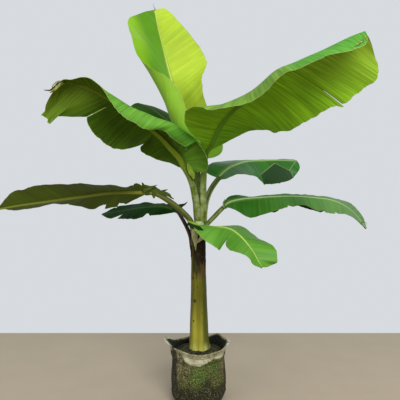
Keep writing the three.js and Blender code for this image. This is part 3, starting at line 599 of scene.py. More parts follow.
def channel_ring(count):
    """A petiole's section, anticlockwise from the left margin round the underside: a deep open channel."""
    rim = math.radians(37)
    half_mouth = 0.66
    lower = np.linspace(math.pi - rim, 2 * math.pi + rim, int(count * 0.66))
    outer = np.stack([np.cos(lower), np.sin(lower)], -1)
    x = np.linspace(half_mouth, -half_mouth, count - len(lower))
    groove = np.stack([x, 0.52 - 0.75 * (1 - (x / half_mouth) ** 2)], -1)
    return np.concatenate([outer, groove])


def petiole(leaf, material):
    """A petiole: a tapering channel, wider at the stem, that runs in under the blade's midrib."""
    route = leaf_route(leaf)
    end = route.base + 10
    s = np.linspace(0, end, int(end / PETIOLE_STEP * FINE) + 1)
    frames = frames_at(leaf, route, s)
    share = s / (route.base - RIB_STUB)
    tuck = 1 - 0.25 * smooth((s - (route.base - 8)) / 18)
    lumps = 1 + 0.03 * uneven(LOOKS[leaf.name]["seed"] + 80, s, 30)
    ring = channel_ring(PETIOLE_POINTS)
    rings = frames["origin"][:, None]
    for foot, direction, k in ((leaf.foot[0], "left", 0), (leaf.foot[1], "up", 1)):
        size = (foot * (1 - share) + leaf.neck * share) * tuck
        rings = rings + frames[direction][:, None] * (size * lumps)[:, None, None] * ring[None, :, k:k + 1]
    n, m = rings.shape[:2]
    ids = np.arange(n * m).reshape(n, m)
    onward = np.roll(ids, -1, 1)
    faces = np.stack([ids[:-1], onward[:-1], onward[1:], ids[1:]], -1).reshape(-1, 4)
    points = rings.reshape(-1, 3)
    pairs = np.arange(0, m, 2)
    for row, flip in ((0, True), (n - 1, False)):
        centre = len(points)
        points = np.vstack([points, rings[row].mean(0)])
        cap = np.stack([ids[row, pairs], ids[row, (pairs + 1) % m], ids[row, (pairs + 2) % m],
                        np.full(len(pairs), centre)], -1)
        faces = np.concatenate([faces, cap[:, ::-1] if flip else cap])
    values = {
        "along": np.concatenate([np.repeat(s, m), [0, end]]) * MM,
        "around": np.concatenate([np.tile(np.linspace(0, 1, m), n), [0, 0]]),
        "height": np.concatenate([np.tile(ring[:, 1], n), [0, 0]]),
    }
    return new_mesh(f"stalk_{leaf.name}", points, faces, [material], values, 70)


def ribbon(name, path, face, widths, thick, material, seed, cup, ragged, run):
    """A thin dried strip along a path, cupped across and ragged at both margins, as one closed sheet."""
    route = Route(path)
    count = max(8, int(route.length / RIBBON_STEP))
    s = np.linspace(0, route.length, count + 1)
    tangent = route.heading(s)
    face = np.asarray(face, float)
    up = unit(face - (tangent @ face)[:, None] * tangent)
    left = np.cross(up, tangent)
    half = np.interp(s / route.length, np.linspace(0, 1, len(widths)), widths) / 2
    across = np.linspace(1, -1, RIBBON_COLUMNS)
    rough = 1 + ragged * np.stack([uneven(seed + (x > 0), s, run) * abs(x) for x in across], 1)
    x = across[None, :] * half[:, None] * rough
    lift = -cup * half[:, None] * across[None, :] ** 2 + 0.4 * uneven(seed + 5, s, 7)[:, None]
    middle = route.at(s)[:, None] + left[:, None] * x[..., None] + up[:, None] * lift[..., None]
    thickness = up[:, None] * (thick / 2)
    kept = np.ones((count, len(across) - 1), bool)
    values = {"along": s[:, None] * MM * np.ones_like(x), "across": x * MM}
    return closed_sheet(name, middle + thickness, middle - thickness, kept, [material] * 2, values)


def rolled(name, rings, material, attributes, sharp=60):
    """A closed round form: a grid primitive rolled through the rings, sewn up, and closed at both ends."""
    n, m = rings.shape[:2]
    bpy.ops.object.select_all(action="DESELECT")
    bpy.ops.mesh.primitive_grid_add(x_subdivisions=m, y_subdivisions=n - 1, size=2)
    piece = bpy.context.object
    piece.name = name
    mesh = piece.data
    mesh.name = name
    place = np.empty(len(mesh.vertices) * 3, np.float32)
    mesh.vertices.foreach_get("co", place)
    place = place.reshape(-1, 3)
    column = np.rint((place[:, 0] + 1) / 2 * m).astype(int)
    row = np.rint((place[:, 1] + 1) / 2 * (n - 1)).astype(int)

    def sewn(grid):
        return np.concatenate([grid, grid[:, :1]], 1)[row, column]

    mesh.vertices.foreach_set("co", (sewn(rings) * MM).astype(np.float32).ravel())
    for key, values in attributes.items():
        layer = mesh.attributes.new(key, "FLOAT", "POINT")
        layer.data.foreach_set("value", sewn(values).astype(np.float32))
    mesh.materials.append(material)
    bpy.ops.object.mode_set(mode="EDIT")
    bpy.ops.mesh.select_all(action="SELECT")
    bpy.ops.mesh.remove_doubles(threshold=SEW_GAP)
    bpy.ops.mesh.select_all(action="DESELECT")
    bpy.ops.mesh.select_non_manifold()
    bpy.ops.mesh.edge_face_add()
    bpy.ops.mesh.select_all(action="SELECT")
    bpy.ops.mesh.normals_make_consistent(inside=False)
    bpy.ops.object.mode_set(mode="OBJECT")
    bpy.ops.object.transform_apply(location=True, rotation=True, scale=True)
    bpy.ops.object.shade_smooth_by_angle(angle=math.radians(sharp))
    piece.select_set(False)
    return piece


def round_angles(count):
    return np.linspace(0, 2 * math.pi, int(count * FINE), endpoint=False)


def stem_at(z):
    """The stem's centre and radius at each height, as columns."""
    table = np.array(STEM_RINGS, float)
    return [np.interp(z, table[:, 2], table[:, k])[:, None] for k in (0, 1, 3)]


def stem(material):
    """The stem of wrapped sheaths: long overlapping edges, fine ribs, and a flared foot."""
    low, high = STEM_RINGS[0][2], STEM_RINGS[-1][2]
    z = np.linspace(low, high, int(STEM_ROWS * FINE) + 1)
    x, y, radius = stem_at(z)
    a, zz = np.meshgrid(round_angles(STEM_COLUMNS), z)
    # Three sheath margins at each height, each one step out and a slow fall to the next.
    turn = a / (2 * math.pi) * 3 + zz / 620 + 0.12 * uneven(71, zz, 120)
    step = (1 - (turn % 1)) * 1.4 - 0.7
    rib = 0.1 * uneven(72, a * STEM_RUN + zz * 0.02, 4) + 0.3 * np.sin(a * 2 + zz / 90)
    sunk = 0.5 * uneven(73, zz + 40 * np.sin(a), 46)
    hold = smooth((zz - low) / 10) * smooth((high - zz) / 8)
    r = radius + (step + rib + sunk) * hold
    # The foot spreads in a few lobes where the outer sheaths leave it.
    r = r + 2.2 * np.sin(5 * a + 0.7) * np.exp(-(zz - low) / 22)
    values = {"around": a * STEM_RUN * MM, "step": turn % 1}
    return rolled("stem_sheaths", round_points(r, a, zz, x, y), material, values)


def sheath_strip(name, middle, wide, high, low, stand, seed, material):
    """A strip of old sheath dried onto the stem: thin, wrinkled along its length, ragged at its ends."""
    z = np.linspace(low, high, max(10, int((high - low) / 3.5)) + 1)
    x, y, radius = stem_at(z)
    share = (z - low) / (high - low)
    half = wide / 2 * (0.25 + 0.75 * smooth(share * 2.2)) * (1 + 0.12 * uneven(seed, z, 14))
    across = np.linspace(-1, 1, max(6, int(wide / 2.2)) + 1)
    drift = 0.06 * uneven(seed + 1, z, 60)
    offset = across[None, :] * half[:, None] * (1 + 0.1 * uneven(seed + 6, z, 6)[:, None] * np.abs(across))
    a = math.radians(middle) + drift[:, None] + offset / radius
    zz = z[:, None] * np.ones_like(a)
    # Offsets run both ways from the strip's middle, and the random heights are read from one side of it.
    run = offset + 200
    wrinkle = 0.5 * uneven(seed + 2, run, 3.5) + 0.4 * uneven(seed + 3, offset + zz * 0.1 + 200, 8)
    edge = 1 - np.abs(across)
    lift = 1.8 * np.exp(-edge * half.mean() / 4)[None, :] * (0.5 + 0.5 * uneven(seed + 4, zz, 30))
    peel = 3.0 * smooth((zz - high + 16) / 16) * (0.5 + 0.5 * uneven(seed + 5, run, 9))
    place = round_points(radius + stand + wrinkle + lift + peel, a, zz, x, y)
    out = round_points(1, a, 0)
    mid_run = (offset[:-1, :-1] + offset[1:, 1:]) / 2 + 200
    mid_z = (zz[:-1, :-1] + zz[1:, 1:]) / 2
    jag = 14 * (0.5 + 0.5 * uneven(seed + 7, mid_run, 4)) + 8 * (0.5 + 0.5 * uneven(seed + 8, mid_run, 2))
    kept = (mid_z > low + jag) & (mid_z < high - 0.8 * jag[:, ::-1])
    values = {"along": zz * MM, "across": offset * MM}
    return closed_sheet(name, place + out * 0.3, place - out * 0.3, kept, [material] * 2, values)


def ear_at(angle):
    """How far the two ears lift and spread the bag's rim at an angle."""
    degrees = np.degrees(angle)
    left = np.exp(-((np.abs(degrees - 180) / 17) ** 2))
    right = np.exp(-((np.minimum(degrees, 360 - degrees) / 17) ** 2))
    return LEFT_EAR * left + RIGHT_EAR * right


def rim_height(angle):
    back = BACK_FOLD * np.exp(-(((np.degrees(angle) - BACK_FOLD_ANGLE) / 18) ** 2))
    ears = 28 * ear_at(angle) / LEFT_EAR
    return BAG_RIM_HEIGHT + ears + back + 4 * np.sin(2 * angle + 0.5) + 3 * np.sin(5 * angle)


def bag_radius(angle, z, wall=0):
    z = np.full(len(angle), float(z))
    below = np.clip((BAG_FOOT_ROUND - z) / (BAG_FOOT_ROUND - wall), 0, 1)
    foot = BAG_BOTTOM_RADIUS + (BAG_SIDE_RADIUS - BAG_BOTTOM_RADIUS - wall) * np.sqrt(1 - below * below)
    neck = (BAG_SIDE_RADIUS - BAG_NECK_RADIUS) * smooth((z - 110) / (CUFF_LOW - 110))
    soft = 1.6 * np.sin(3 * angle + 0.6) * smooth(z / 60) + 1.1 * np.sin(5 * angle + z / 40)
    return foot - neck + soft * smooth(z / 20)


def bag_creases(angle, z):
    """Folds gathered under the cuff, slack cloth on the sides, and creases low down."""
    around = angle * BAG_RUN
    gathered = smooth((z - 150) / 60)
    folds = uneven(31, around, 16) * 1.5 + uneven(32, around, 7) * 0.8
    slack = uneven(33, around + z * 0.6, 60) * 1.6 + uneven(34, z - angle * 50, 34) * 0.9
    low = uneven(35, z + 12 * np.sin(3 * angle), 13) * 0.7 * np.exp(-(((z - 40) / 30) ** 2))
    return (folds * gathered + slack * smooth(z / 40) + low * 1.2) * smooth(z / 12) - 0.6 * gathered


# The cuff's section, as shares of its height with how far it stands out, and then the rim over its edge, as
# how far in and how far down.
CUFF = (
    (-0.22, 0.2), (-0.12, 1.2), (-0.04, 3.2), (0.0, 5.0), (0.05, 5.8), (0.12, 6.2), (0.22, 6.4), (0.34, 6.2),
    (0.46, 5.8), (0.56, 4.8), (0.62, 4.2), (0.68, 4.6), (0.76, 5.0), (0.84, 4.6),
)
RIM = ((3.2, 3.2), (1.4, 1.0), (0.2, 0.2), (-1.2, 0.0), (-2.8, 0.5), (-4.2, 2.2))


def grow_bag(material):
    """The bag: woven sides with soft creases, gathered under a turned-down cuff, with two ears."""
    angle = round_angles(BAG_COLUMNS)
    around = angle * BAG_RUN
    rim = rim_height(angle)
    flare = BAG_RIM_RADIUS - BAG_NECK_RADIUS + ear_at(angle)
    at_ear = ear_at(angle) / LEFT_EAR
    profile = []
    for z in (*np.linspace(0, 8, 5), *np.linspace(10, 208, int(BAG_ROWS * FINE))):
        profile.append((bag_radius(angle, z) + bag_creases(angle, z), z))
    # The cuff stands a little proud, and is creased about halfway up.
    bulge = uneven(36, around, 24) * 1.2 + uneven(37, around, 9) * (0.6 + 3.2 * at_ear)
    bulge = bulge + uneven(41, around, 4) * 1.6 * at_ear
    base = bag_radius(angle, CUFF_LOW)
    for share, out in CUFF:
        height = CUFF_LOW + (rim - CUFF_LOW) * share + 1.6 * uneven(38, around, 30) * (share < 0.1)
        spread = np.clip((share - 0.35) / 0.65, 0, 1)
        fold = 0.8 * uneven(39, around + share * 40, 13)
        profile.append((base + out + (bulge + fold) * min(1, 1 + share) + 0.55 * flare * spread, height))
    crumple = (0.8 + 2.4 * at_ear) * uneven(40, around, 8)
    for inset, drop in RIM:
        profile.append((base + inset + flare * 0.97 + bulge * 0.5, rim - drop + crumple))
    rim_row = len(profile) + 4
    profile.append((base - 7 + flare * 0.7, rim - 8))
    profile.append((base - 9.5 + flare * 0.42, rim - 16))
    for z in (236, 228, 200, 150, 100, 60, 45, 36, 28, 20, 13, 8, 5):
        profile.append((bag_radius(angle, z, BAG_WALL), z))
    rings = np.array([round_points(r, angle, z) for r, z in profile])
    # Flat rounds close the underside and the inside.
    under = [rings[0] * (f, f, 1) for f in (0.06, 0.3, 0.6, 0.85, 0.96)]
    inside = [rings[-1] * (f, f, 1) for f in (0.9, 0.5, 0.06)]
    rings = np.concatenate([under, rings, inside])
    run = np.cumsum(np.linalg.norm(np.diff(rings, axis=0, prepend=rings[:1]), axis=-1).mean(1))
    inner = smooth((np.arange(len(rings)) - rim_row) / 2)
    a = np.tile(angle, (len(rings), 1))
    whole = np.ones_like(a)
    values = {
        "around": a * BAG_RUN * MM, "up_side": run[:, None] * MM * whole,
        "to_rim": (rim[None, :] - rings[..., 2]) * MM, "inside": np.minimum(1, inner[:, None] * whole * 2),
        "ear": np.tile(at_ear, (len(rings), 1)),
    }
    return rolled("woven_bag", rings, material, values)


def soil(material):
    """The soil's lumpy top, risen to the stem, down to the bag's inner wall."""
    angle = round_angles(SOIL_COLUMNS)
    edge = bag_radius(angle, SOIL_EDGE_HEIGHT, BAG_WALL) - 1.2
    rings = []
    for share in np.linspace(0.02, 1, int(SOIL_ROWS * FINE)):
        r = edge * share
        x, y = r * np.cos(angle), r * np.sin(angle)
        level = smooth((edge - r) / (edge - 72))
        z = SOIL_EDGE_HEIGHT + (SOIL_MIDDLE_HEIGHT - SOIL_EDGE_HEIGHT) * level
        lump = 1.6 * uneven(51, x * 0.9 + y * 0.5, 13) * uneven(52, y - x * 0.3, 17)
        lump = lump + 1.6 * uneven(53, x + 300 - y * 0.7, 6) * uneven(54, y + x * 0.8, 5)
        # Crumbs heaped against the stem's foot.
        near = np.exp(-(((np.hypot(x - 5, y) - 57) / 9) ** 2))
        lump = lump + near * (3.5 + 3.5 * uneven(55, angle * 57, 15) + 1.2 * uneven(56, angle * 57, 7))
        rings.append(round_points(r, angle, z + lump - 0.8))
    for r, drop in ((edge - 0.2, 3), (edge - 1, 14), (edge - 3, 30), (edge * 0.6, 30), (edge * 0.05, 30)):
        rings.append(round_points(r, angle, SOIL_EDGE_HEIGHT - drop))
    rings = np.array(rings)[::-1]
    return rolled("soil_top", rings, material, {"around": np.tile(angle, (len(rings), 1))}, 40)


# Materials.

class Value:
    """A number that a shader works out at each point, with ordinary arithmetic."""

    def __init__(self, finish, socket):
        self.finish = finish
        self.socket = socket

    def __add__(self, other):
        return self.finish.maths("ADD", self, other)

    def __sub__(self, other):
        return self.finish.maths("SUBTRACT", self, other)

    def __mul__(self, other):
        return self.finish.maths("MULTIPLY", self, other)

    def __truediv__(self, other):
        return self.finish.maths("DIVIDE", self, other)

    def __abs__(self):
        return self.finish.maths("ABSOLUTE", self)

    def rise(self, low, high, start=0.0, end=1.0):
        """Goes smoothly from start, where this is low, to end, where it is high."""
        inputs = {0: self, 1: low, 2: high, 3: start, 4: end}
        return Value(self.finish, self.finish.node("MapRange", inputs, interpolation_type="SMOOTHSTEP"))

    def fall(self, low, high, start=1.0):
        return self.rise(low, high, start, 0.0)

    def mix(self, first, second):
        """The first colour where this is 0, and the second where it is 1."""
        return self.finish.mix(self, first, second, "MIX")


class Finish:
    """A material of shader nodes, made by short calls."""

    def __init__(self, name):
        self.material = bpy.data.materials.new(name)
        self.material.use_nodes = True
        self.tree = self.material.node_tree
        self.tree.nodes.clear()
        self.place = self.node("TexCoord", {}, "Object")

    def node(self, kind, inputs, output=0, **settings):
        """One output of a new node, whose inputs are linked to other outputs or set to numbers."""
        node = self.tree.nodes.new("ShaderNode" + kind)
        for key, value in settings.items():
            setattr(node, key, value)
        for key, value in inputs.items():
            value = getattr(value, "socket", value)
            if isinstance(value, bpy.types.NodeSocket):
                self.tree.links.new(value, node.inputs[key])
            else:
                node.inputs[key].default_value = value
        return node.outputs[output]

    def attributes(self, *names):
        return [Value(self, self.node("Attribute", {}, "Fac", attribute_name=name)) for name in names]

    def parts(self):
        return [Value(self, self.node("SeparateXYZ", {0: self.place}, k)) for k in range(3)]

    def vector(self, x, y, z):
        return self.node("CombineXYZ", {0: x, 1: y, 2: z})

    def maths(self, operation, first, second=0.0):
        return Value(self, self.node("Math", {0: first, 1: second}, operation=operation))

    def length(self, x, z):
        return self.maths("SQRT", x * x + z * z)

    def noise(self, vector, scale, detail=2.0, roughness=0.5):
        inputs = {"Vector": vector, "Scale": scale, "Detail": detail, "Roughness": roughness}
        return Value(self, self.node("TexNoise", inputs, "Fac"))

    def cells(self, vector, scale):
        return Value(self, self.node("TexVoronoi", {"Vector": vector, "Scale": scale}, "Distance"))

    def mix(self, share, first, second, blend):
        first, second = (tone(*color) if isinstance(color, tuple) and len(color) == 3 else color
                         for color in (first, second))
        return self.node("Mix", {0: share, 6: first, 7: second}, 2, data_type="RGBA", blend_type=blend)

    def shaded(self, color, shade):
        return self.mix(1.0, color, self.vector(shade, shade, shade), "MULTIPLY")

    def bump(self, height, depth, strength):
        return self.node("Bump", {"Strength": strength, "Distance": depth, "Height": height})

    def done(self, color, roughness, **others):
        inputs = {"Base Color": color, "Roughness": roughness}
        inputs.update({key.replace("_", " "): value for key, value in others.items()})
        surface = self.node("BsdfPrincipled", inputs)
        output = self.tree.nodes.new("ShaderNodeOutputMaterial")
        self.tree.links.new(surface, output.inputs[0])
        return self.material


BROWN = (112, 84, 46)
DARK_BROWN = (58, 42, 26)
TAN = (166, 140, 92)


def leaf_side(name, look, underside):
    """One side of a blade: veins that run out from the pale midrib, soft clouds of tone, dry edges."""
    finish = Finish(name)
    along, across, rib = finish.attributes("along", "across", "rib")
    dry, tip_dry, crease = finish.attributes("dry", "tip_dry", "crease")
    seed = look["seed"] * 1.7
    start = along
    if "slant" in look:
        start = along - finish.maths("MAXIMUM", across, 0.0) * look["slant"]
    vein_line = finish.vector(start, across * 0.03, seed)
    fine = finish.noise(vein_line, 250, 1.0, 0.4)
    band = finish.noise(vein_line, look.get("lines", 95), 1.0)
    broad = finish.noise(finish.vector(start, across * 0.5, seed + 5), 5, 2.0, 0.45)
    cloud = finish.noise(finish.place, 9)
    deep, pale = look["shade"], look["upper"]
    if underside:
        deep, pale = scaled(look["under"], 0.93), scaled(look["under"], 1.07)
    color = (band * 0.25 + broad * 0.75).rise(0.25, 0.75).mix(deep, pale)
    if underside and "glow" in look:
        color = (along + (broad - 0.5) * 0.3).rise(*look["lit"]).mix(color, look["glow"])
    if underside and "lobe" in look:
        color = (along.fall(0.10, 0.17) * across.rise(0.01, 0.03) * 0.85).mix(color, look["lobe"])
    if not underside and "beyond" in look:
        far_tone, low, high, most = look["beyond"]
        color = along.rise(low, high, 0.0, most).mix(color, far_tone)
    ribbed = look.get("ribbed", 1.0)
    hair = fine.rise(0.3, 0.7, 1 - 0.07 * ribbed, 1 + 0.05 * ribbed)
    lines = band.rise(0.3, 0.7, 1 - 0.06 * ribbed, 1 + 0.05 * ribbed)
    color = finish.shaded(color, cloud.rise(0.25, 0.75, 0.92, 1.06) * (hair * lines))
    # Painted shade over the upper side's left half, lighter towards its margin.
    if "left_shade" in look and not underside:
        outward = across + (broad - 0.5) * 0.08
        left_shading = outward.rise(0.07, 0.17).mix(look["left_shade"], look["left_rim_shade"])
        color = across.rise(-0.002, 0.004).mix(color, finish.mix(1.0, color, left_shading, "MULTIPLY"))
    if "foot_tone" in look:
        foot_tone, low, high = look["foot_tone"]
        color = along.fall(low, high, 0.85).mix(color, foot_tone)
    # The midrib and the paler strip along it.
    brink = look.get("rib_edge", 0.85)
    grain = finish.noise(finish.vector(along * 0.06, across, seed), 700, 1.0)
    rib_color = grain.mix(scaled(look["rib"], 0.86), look["rib"])
    color = rib.fall(brink, brink + 1.8, 0.28).mix(color, rib_color)
    color = rib.fall(brink, brink + 0.2).mix(color, rib_color)
    # A painted highlight on the underside, along the midrib's left margin.
    if underside and "rib_highlight" in look:
        color = (abs(rib - 0.8).fall(0.1, 0.6, 0.9) * across.rise(0.0, 0.002)).mix(color, look["rib_highlight"])
    # Lines of tears: a dark painted shadow where the crease is 1, pale in the margin's tone where it is -1.
    color = crease.rise(0.35, 0.95, 0.0, 0.7).mix(color, scaled(deep, 0.45))
    color = crease.fall(-0.95, -0.35, 0.8).mix(color, look["edge"])
    # A turned-over tip: its turned part darkened to the underside's tone as painted shade, and a pale line
    # along the fold.
    if "fold" in look and not underside:
        folded, fold_dark = finish.attributes("folded", "fold_dark")
        below = folded.rise(-0.001, 0.002) * fold_dark.rise(0.3, 0.7)
        color = (below * 0.9).mix(color, scaled(look["under"], 0.75))
        color = abs(folded).fall(0.0, 0.004, 0.6).mix(color, look["edge"])
    # Small brown freckles, and margins and tips that have dried.
    speck = finish.cells(finish.vector(along, across * 0.45, seed), 70)
    few = finish.noise(finish.vector(along, across, seed + 9), 22, 2.0, 0.6)
    color = (speck.fall(0.05, 0.13) * few.rise(0.6, 0.7) * 0.35).mix(color, BROWN)
    singe = finish.noise(finish.vector(along, across, seed + 3), 240, 2.0, 0.6)
    edge = (dry + singe * 0.4).rise(0.75, 1.1)
    color = edge.mix(color, singe.mix(scaled(look["edge"], 0.7), look["edge"]))
    color = (tip_dry + singe * 0.5).rise(0.7, 1.0).mix(color, singe.mix(DARK_BROWN, TAN))
    gloss = look.get("gloss", 0.4)
    shine = look.get("shine", 0.24)
    low, high = gloss, gloss + 0.35
    if underside:
        shine = min(0.1, shine)
        low, high = 0.6, 0.85
    return finish.done(color, (cloud + edge * 0.5).rise(0.2, 1.1, low, high),
                       Normal=finish.bump(fine * 0.4 + band * 0.4, 0.0009, 0.6), Specular_IOR_Level=shine)


def stalk_finish(name, colors, waxy, seed):
    """A petiole's skin: fine ribs along it, a pale bloom of wax, painted shade deep in its channel, and a
    redder, darker foot.
    """
    deep, light, wax, foot = colors
    finish = Finish(name)
    along, around, height = finish.attributes("along", "around", "height")
    line = finish.vector(along * 0.7, around, seed)
    fine = finish.noise(line, 60)
    wide = finish.noise(line, 7)
    blotch = finish.noise(finish.place, 30, 3.0, 0.6)
    color = (fine * 0.4 + wide * 0.6).rise(0.35, 0.65).mix(deep, light)
    color = (blotch.rise(0.35, 0.7) * waxy * along.rise(0.12, 0.28, 1.0, 0.12)).mix(color, wax)
    # Painted shade deep in the channel.
    color = height.rise(0.2, 0.45, 0.0, 0.75).mix(color, scaled(deep, 0.5))
    color = (along.fall(0.02, 0.16, 0.55) * blotch.rise(0.3, 0.6)).mix(color, foot)
    return finish.done(color, blotch.rise(0.2, 0.8, 0.42, 0.66), Normal=finish.bump(fine, 0.0012, 0.7),
                       Specular_IOR_Level=0.2)


# Dark spots on the stem's front: x and z of each, and half its width and height, in metres.
STEM_SPOTS = (
    (-0.017, 0.489, 0.0075, 0.0090), (-0.023, 0.391, 0.0038, 0.0055), (0.02, 0.43, 0.0022, 0.004),
    (-0.024, 0.60, 0.003, 0.006), (-0.004, 0.556, 0.002, 0.004), (-0.02, 0.545, 0.002, 0.003),
    (-0.002, 0.820, 0.014, 0.020),
)


def stem_finish():
    """The stem's outer sheaths: yellow green with soft upright streaks, brown above, with dark spots."""
    finish = Finish("stem_sheath_skin")
    x, y, z = finish.parts()
    around, step = finish.attributes("around", "step")
    hair = finish.noise(finish.vector(around, z * 0.03, 3.1), 150, 2.0, 0.55)
    band = finish.noise(finish.vector(around, z * 0.05, 4.4), 45)
    broad = finish.noise(finish.vector(around, z * 0.10, 8.2), 34, 2.0, 0.55)
    blotch = finish.noise(finish.place, 26, 3.0, 0.6)
    streak = hair * 0.3 + band * 0.7
    soft = streak.rise(0.25, 0.75)
    below = soft.mix((122, 114, 26), (168, 164, 58))
    above = soft.mix((66, 64, 2), (104, 100, 6))
    color = z.rise(0.28, 0.52).mix(below, above)
    # Painted shade towards both sides, where the stem turns away, in its own hues: greener to the right,
    # browner to the left.
    side_shade_x = x + (broad - 0.5) * 0.09
    color = side_shade_x.rise(0.000, 0.036, 0.0, 0.8).mix(color, (40, 52, 2))
    color = side_shade_x.fall(-0.050, -0.022, 0.6).mix(color, (56, 42, 14))
    color = (broad.rise(0.58, 0.72) * 0.3).mix(color, (84, 98, 24))
    color = z.rise(0.79, 0.83).mix(color, streak.mix((120, 140, 72), (172, 188, 134)))
    color = (step.fall(0.0, 0.04) * 0.45).mix(color, (70, 54, 22))
    # A painted highlight low on the stem's foot.
    color = (z.fall(0.25, 0.300, 0.8) * streak.rise(0.35, 0.6)).mix(color, (186, 188, 104))
    # Under the crown the old sheaths have dried dark, in long tongues.
    tongue = finish.noise(finish.vector(around, z * 0.16, 5.5), 70, 3.0, 0.6)
    reach = z + (tongue - 0.5) * 0.10
    dried = reach.rise(0.588, 0.640) * reach.fall(0.815, 0.850)
    spare = (x + tongue * 0.02).rise(-0.024, -0.008, 0.45, 1.0)
    husk = streak.rise(0.35, 0.68).mix((12, 12, 2), (48, 45, 10))
    husk = ((x + (tongue - 0.5) * 0.05).rise(0.002, 0.016) * 0.65).mix(husk, (88, 60, 32))
    color = (dried * spare * 0.93).mix(color, husk)
    color = (blotch.rise(0.54, 0.68) * 0.3).mix(color, (94, 82, 36))
    on_front = finish.maths("LESS_THAN", y, 0.0)
    ragged = finish.noise(finish.place, 260) * 0.6
    for spot_x, spot_z, wide, tall in STEM_SPOTS:
        far = finish.length((x - spot_x) / wide, (z - spot_z) / tall) + ragged
        color = (far.fall(1.0, 1.6, 0.85) * on_front).mix(color, (38, 28, 18))
    rough = blotch.rise(0.2, 0.8, 0.34, 0.5) + dried * 0.35
    return finish.done(color, rough, Normal=finish.bump(streak + broad * 0.3, 0.0012, 0.6),
                       Specular_IOR_Level=0.22)


def husk_finish(name, dark, mid, pale):
    """Dried sheath: papery, fibrous along its length, between dark brown and straw."""
    finish = Finish(name)
    along, across = finish.attributes("along", "across")
    fibre = finish.noise(finish.vector(along * 0.05, across, 1.3), 420, 3.0, 0.6)
    patch = finish.noise(finish.place, 42, 3.0, 0.6)
    color = patch.rise(0.52, 0.75, 0.0, 0.6).mix(fibre.rise(0.3, 0.7).mix(dark, mid), pale)
    return finish.done(color, patch.rise(0.2, 0.8, 0.7, 0.95), Normal=finish.bump(fibre, 0.0016, 0.9),
                       Specular_IOR_Level=0.12)


def weave_finish():
    """The bag's cloth: a flat weave, pale at the cuff, dark and mossy with algae down the sides."""
    finish = Finish("bag_weave")
    x, y, z = finish.parts()
    around, up_side, to_rim = finish.attributes("around", "up_side", "to_rim")
    inside, at_ear = finish.attributes("inside", "ear")
    warp = finish.maths("SINE", around * (2 * math.pi / THREAD))
    weft = finish.maths("SINE", up_side * (2 * math.pi / THREAD))
    weave = warp * weft
    ribs = (abs(warp) + abs(weft)) * 0.5
    wide = finish.noise(finish.place, 12, 3.0, 0.6)
    stain = finish.noise(finish.place, 34, 4.0, 0.65)
    grit = finish.noise(finish.place, 110, 3.0, 0.7)
    speckle = finish.noise(finish.place, 300, 2.0, 0.6)
    cloth = weave.rise(-0.9, 0.9).mix((172, 168, 134), (206, 203, 174))
    cloth = stain.rise(0.42, 0.66, 0.0, 0.7).mix(cloth, (122, 112, 74))
    hem = to_rim.fall(0.012, 0.020, 0.8) * grit.rise(0.42, 0.58, 0.35, 1.0)
    cloth = hem.mix(cloth, (104, 98, 60))
    # The pale band is clean at the front of the cuff; algae take over below, higher to the right.
    lean = x.rise(0.0, 0.085, 0.0, 0.022) + x.fall(-0.090, -0.045, 0.045)
    reach = to_rim + (lean + (wide - 0.5) * 0.06)
    cover = reach.rise(0.034, 0.070) + (stain * 0.6 + grit * 0.4) * 0.9
    moss = cover.rise(0.66, 1.02)
    spot = speckle * 0.6 + grit * 0.4
    rust = spot.rise(0.40, 0.58).mix((40, 35, 18), (158, 144, 108))
    rust = stain.rise(0.47, 0.58, 0.0, 0.75).mix(rust, (50, 50, 24))
    green = spot.rise(0.38, 0.60).mix((26, 30, 10), (100, 104, 50))
    bright = spot.rise(0.38, 0.62).mix((28, 42, 10), (94, 118, 44))
    middle = x.rise(-0.06, -0.01) * x.fall(0.075, 0.105)
    lit = wide.rise(0.42, 0.56) * z.rise(0.10, 0.15) * middle
    green = lit.mix(green, bright)
    patch = stain * 0.7 + grit * 0.5
    left = x * -1.8 + (patch + z.rise(0.08, 0.2, -0.1, 0.04)) + x.rise(0.085, 0.118, 0.0, 0.34)
    algae = left.rise(0.62, 0.86).mix(green, rust)
    # Darker towards the bag's left and right sides and towards its foot.
    sides = abs(x).rise(0.118, 0.134, 0.0, 0.22) + x.fall(-0.122, -0.086, 0.26)
    deep = (wide * 0.35 + patch * 0.5 + (z.fall(0.02, 0.14, 0.36) + sides)).rise(0.50, 0.64)
    algae = (deep * 0.88).mix(algae, speckle.mix((10, 11, 6), (40, 40, 24)))
    # A dark wet patch low on the front.
    far = finish.length((x - 0.046) * 34, (z - 0.128) * 34)
    wet = (far + grit).fall(0.9, 1.5, 0.8) * finish.maths("LESS_THAN", y, 0.0)
    algae = wet.mix(algae, (20, 24, 10))
    algae = (speckle.rise(0.56, 0.66) * grit.rise(0.46, 0.58) * 0.7).mix(algae, (172, 166, 132))
    color = moss.mix(cloth, algae)
    # The crumpled ears are bleached, with dark mottles.
    ear = at_ear.rise(0.12, 0.4) * to_rim.fall(0.014, 0.034)
    color = (ear * 0.9).mix(color, grit.rise(0.40, 0.52).mix((52, 50, 30), (204, 202, 176)))
    color = (grit.rise(0.60, 0.70) * stain.rise(0.44, 0.6) * 0.6).mix(color, (52, 46, 26))
    # Painted shade along the cuff's crease.
    fold_line = to_rim + (stain - 0.5) * 0.008
    color = abs(fold_line - 0.020).fall(0.0, 0.003, 0.75).mix(color, (70, 62, 38))
    # The inside is near black, as mossy stain and painted shade.
    color = inside.mix(color, grit.rise(0.4, 0.66).mix((10, 12, 8), (40, 46, 28)))
    color = finish.shaded(color, ribs.rise(0.1, 0.9, 0.88, 1.04))
    height = weave * 0.25 + ribs * 0.25 + grit * (moss * 1.6 + 0.2)
    return finish.done(color, stain.rise(0.2, 0.8, 0.78, 0.96), Normal=finish.bump(height, 0.0018, 1.0),
                       Specular_IOR_Level=0.2)


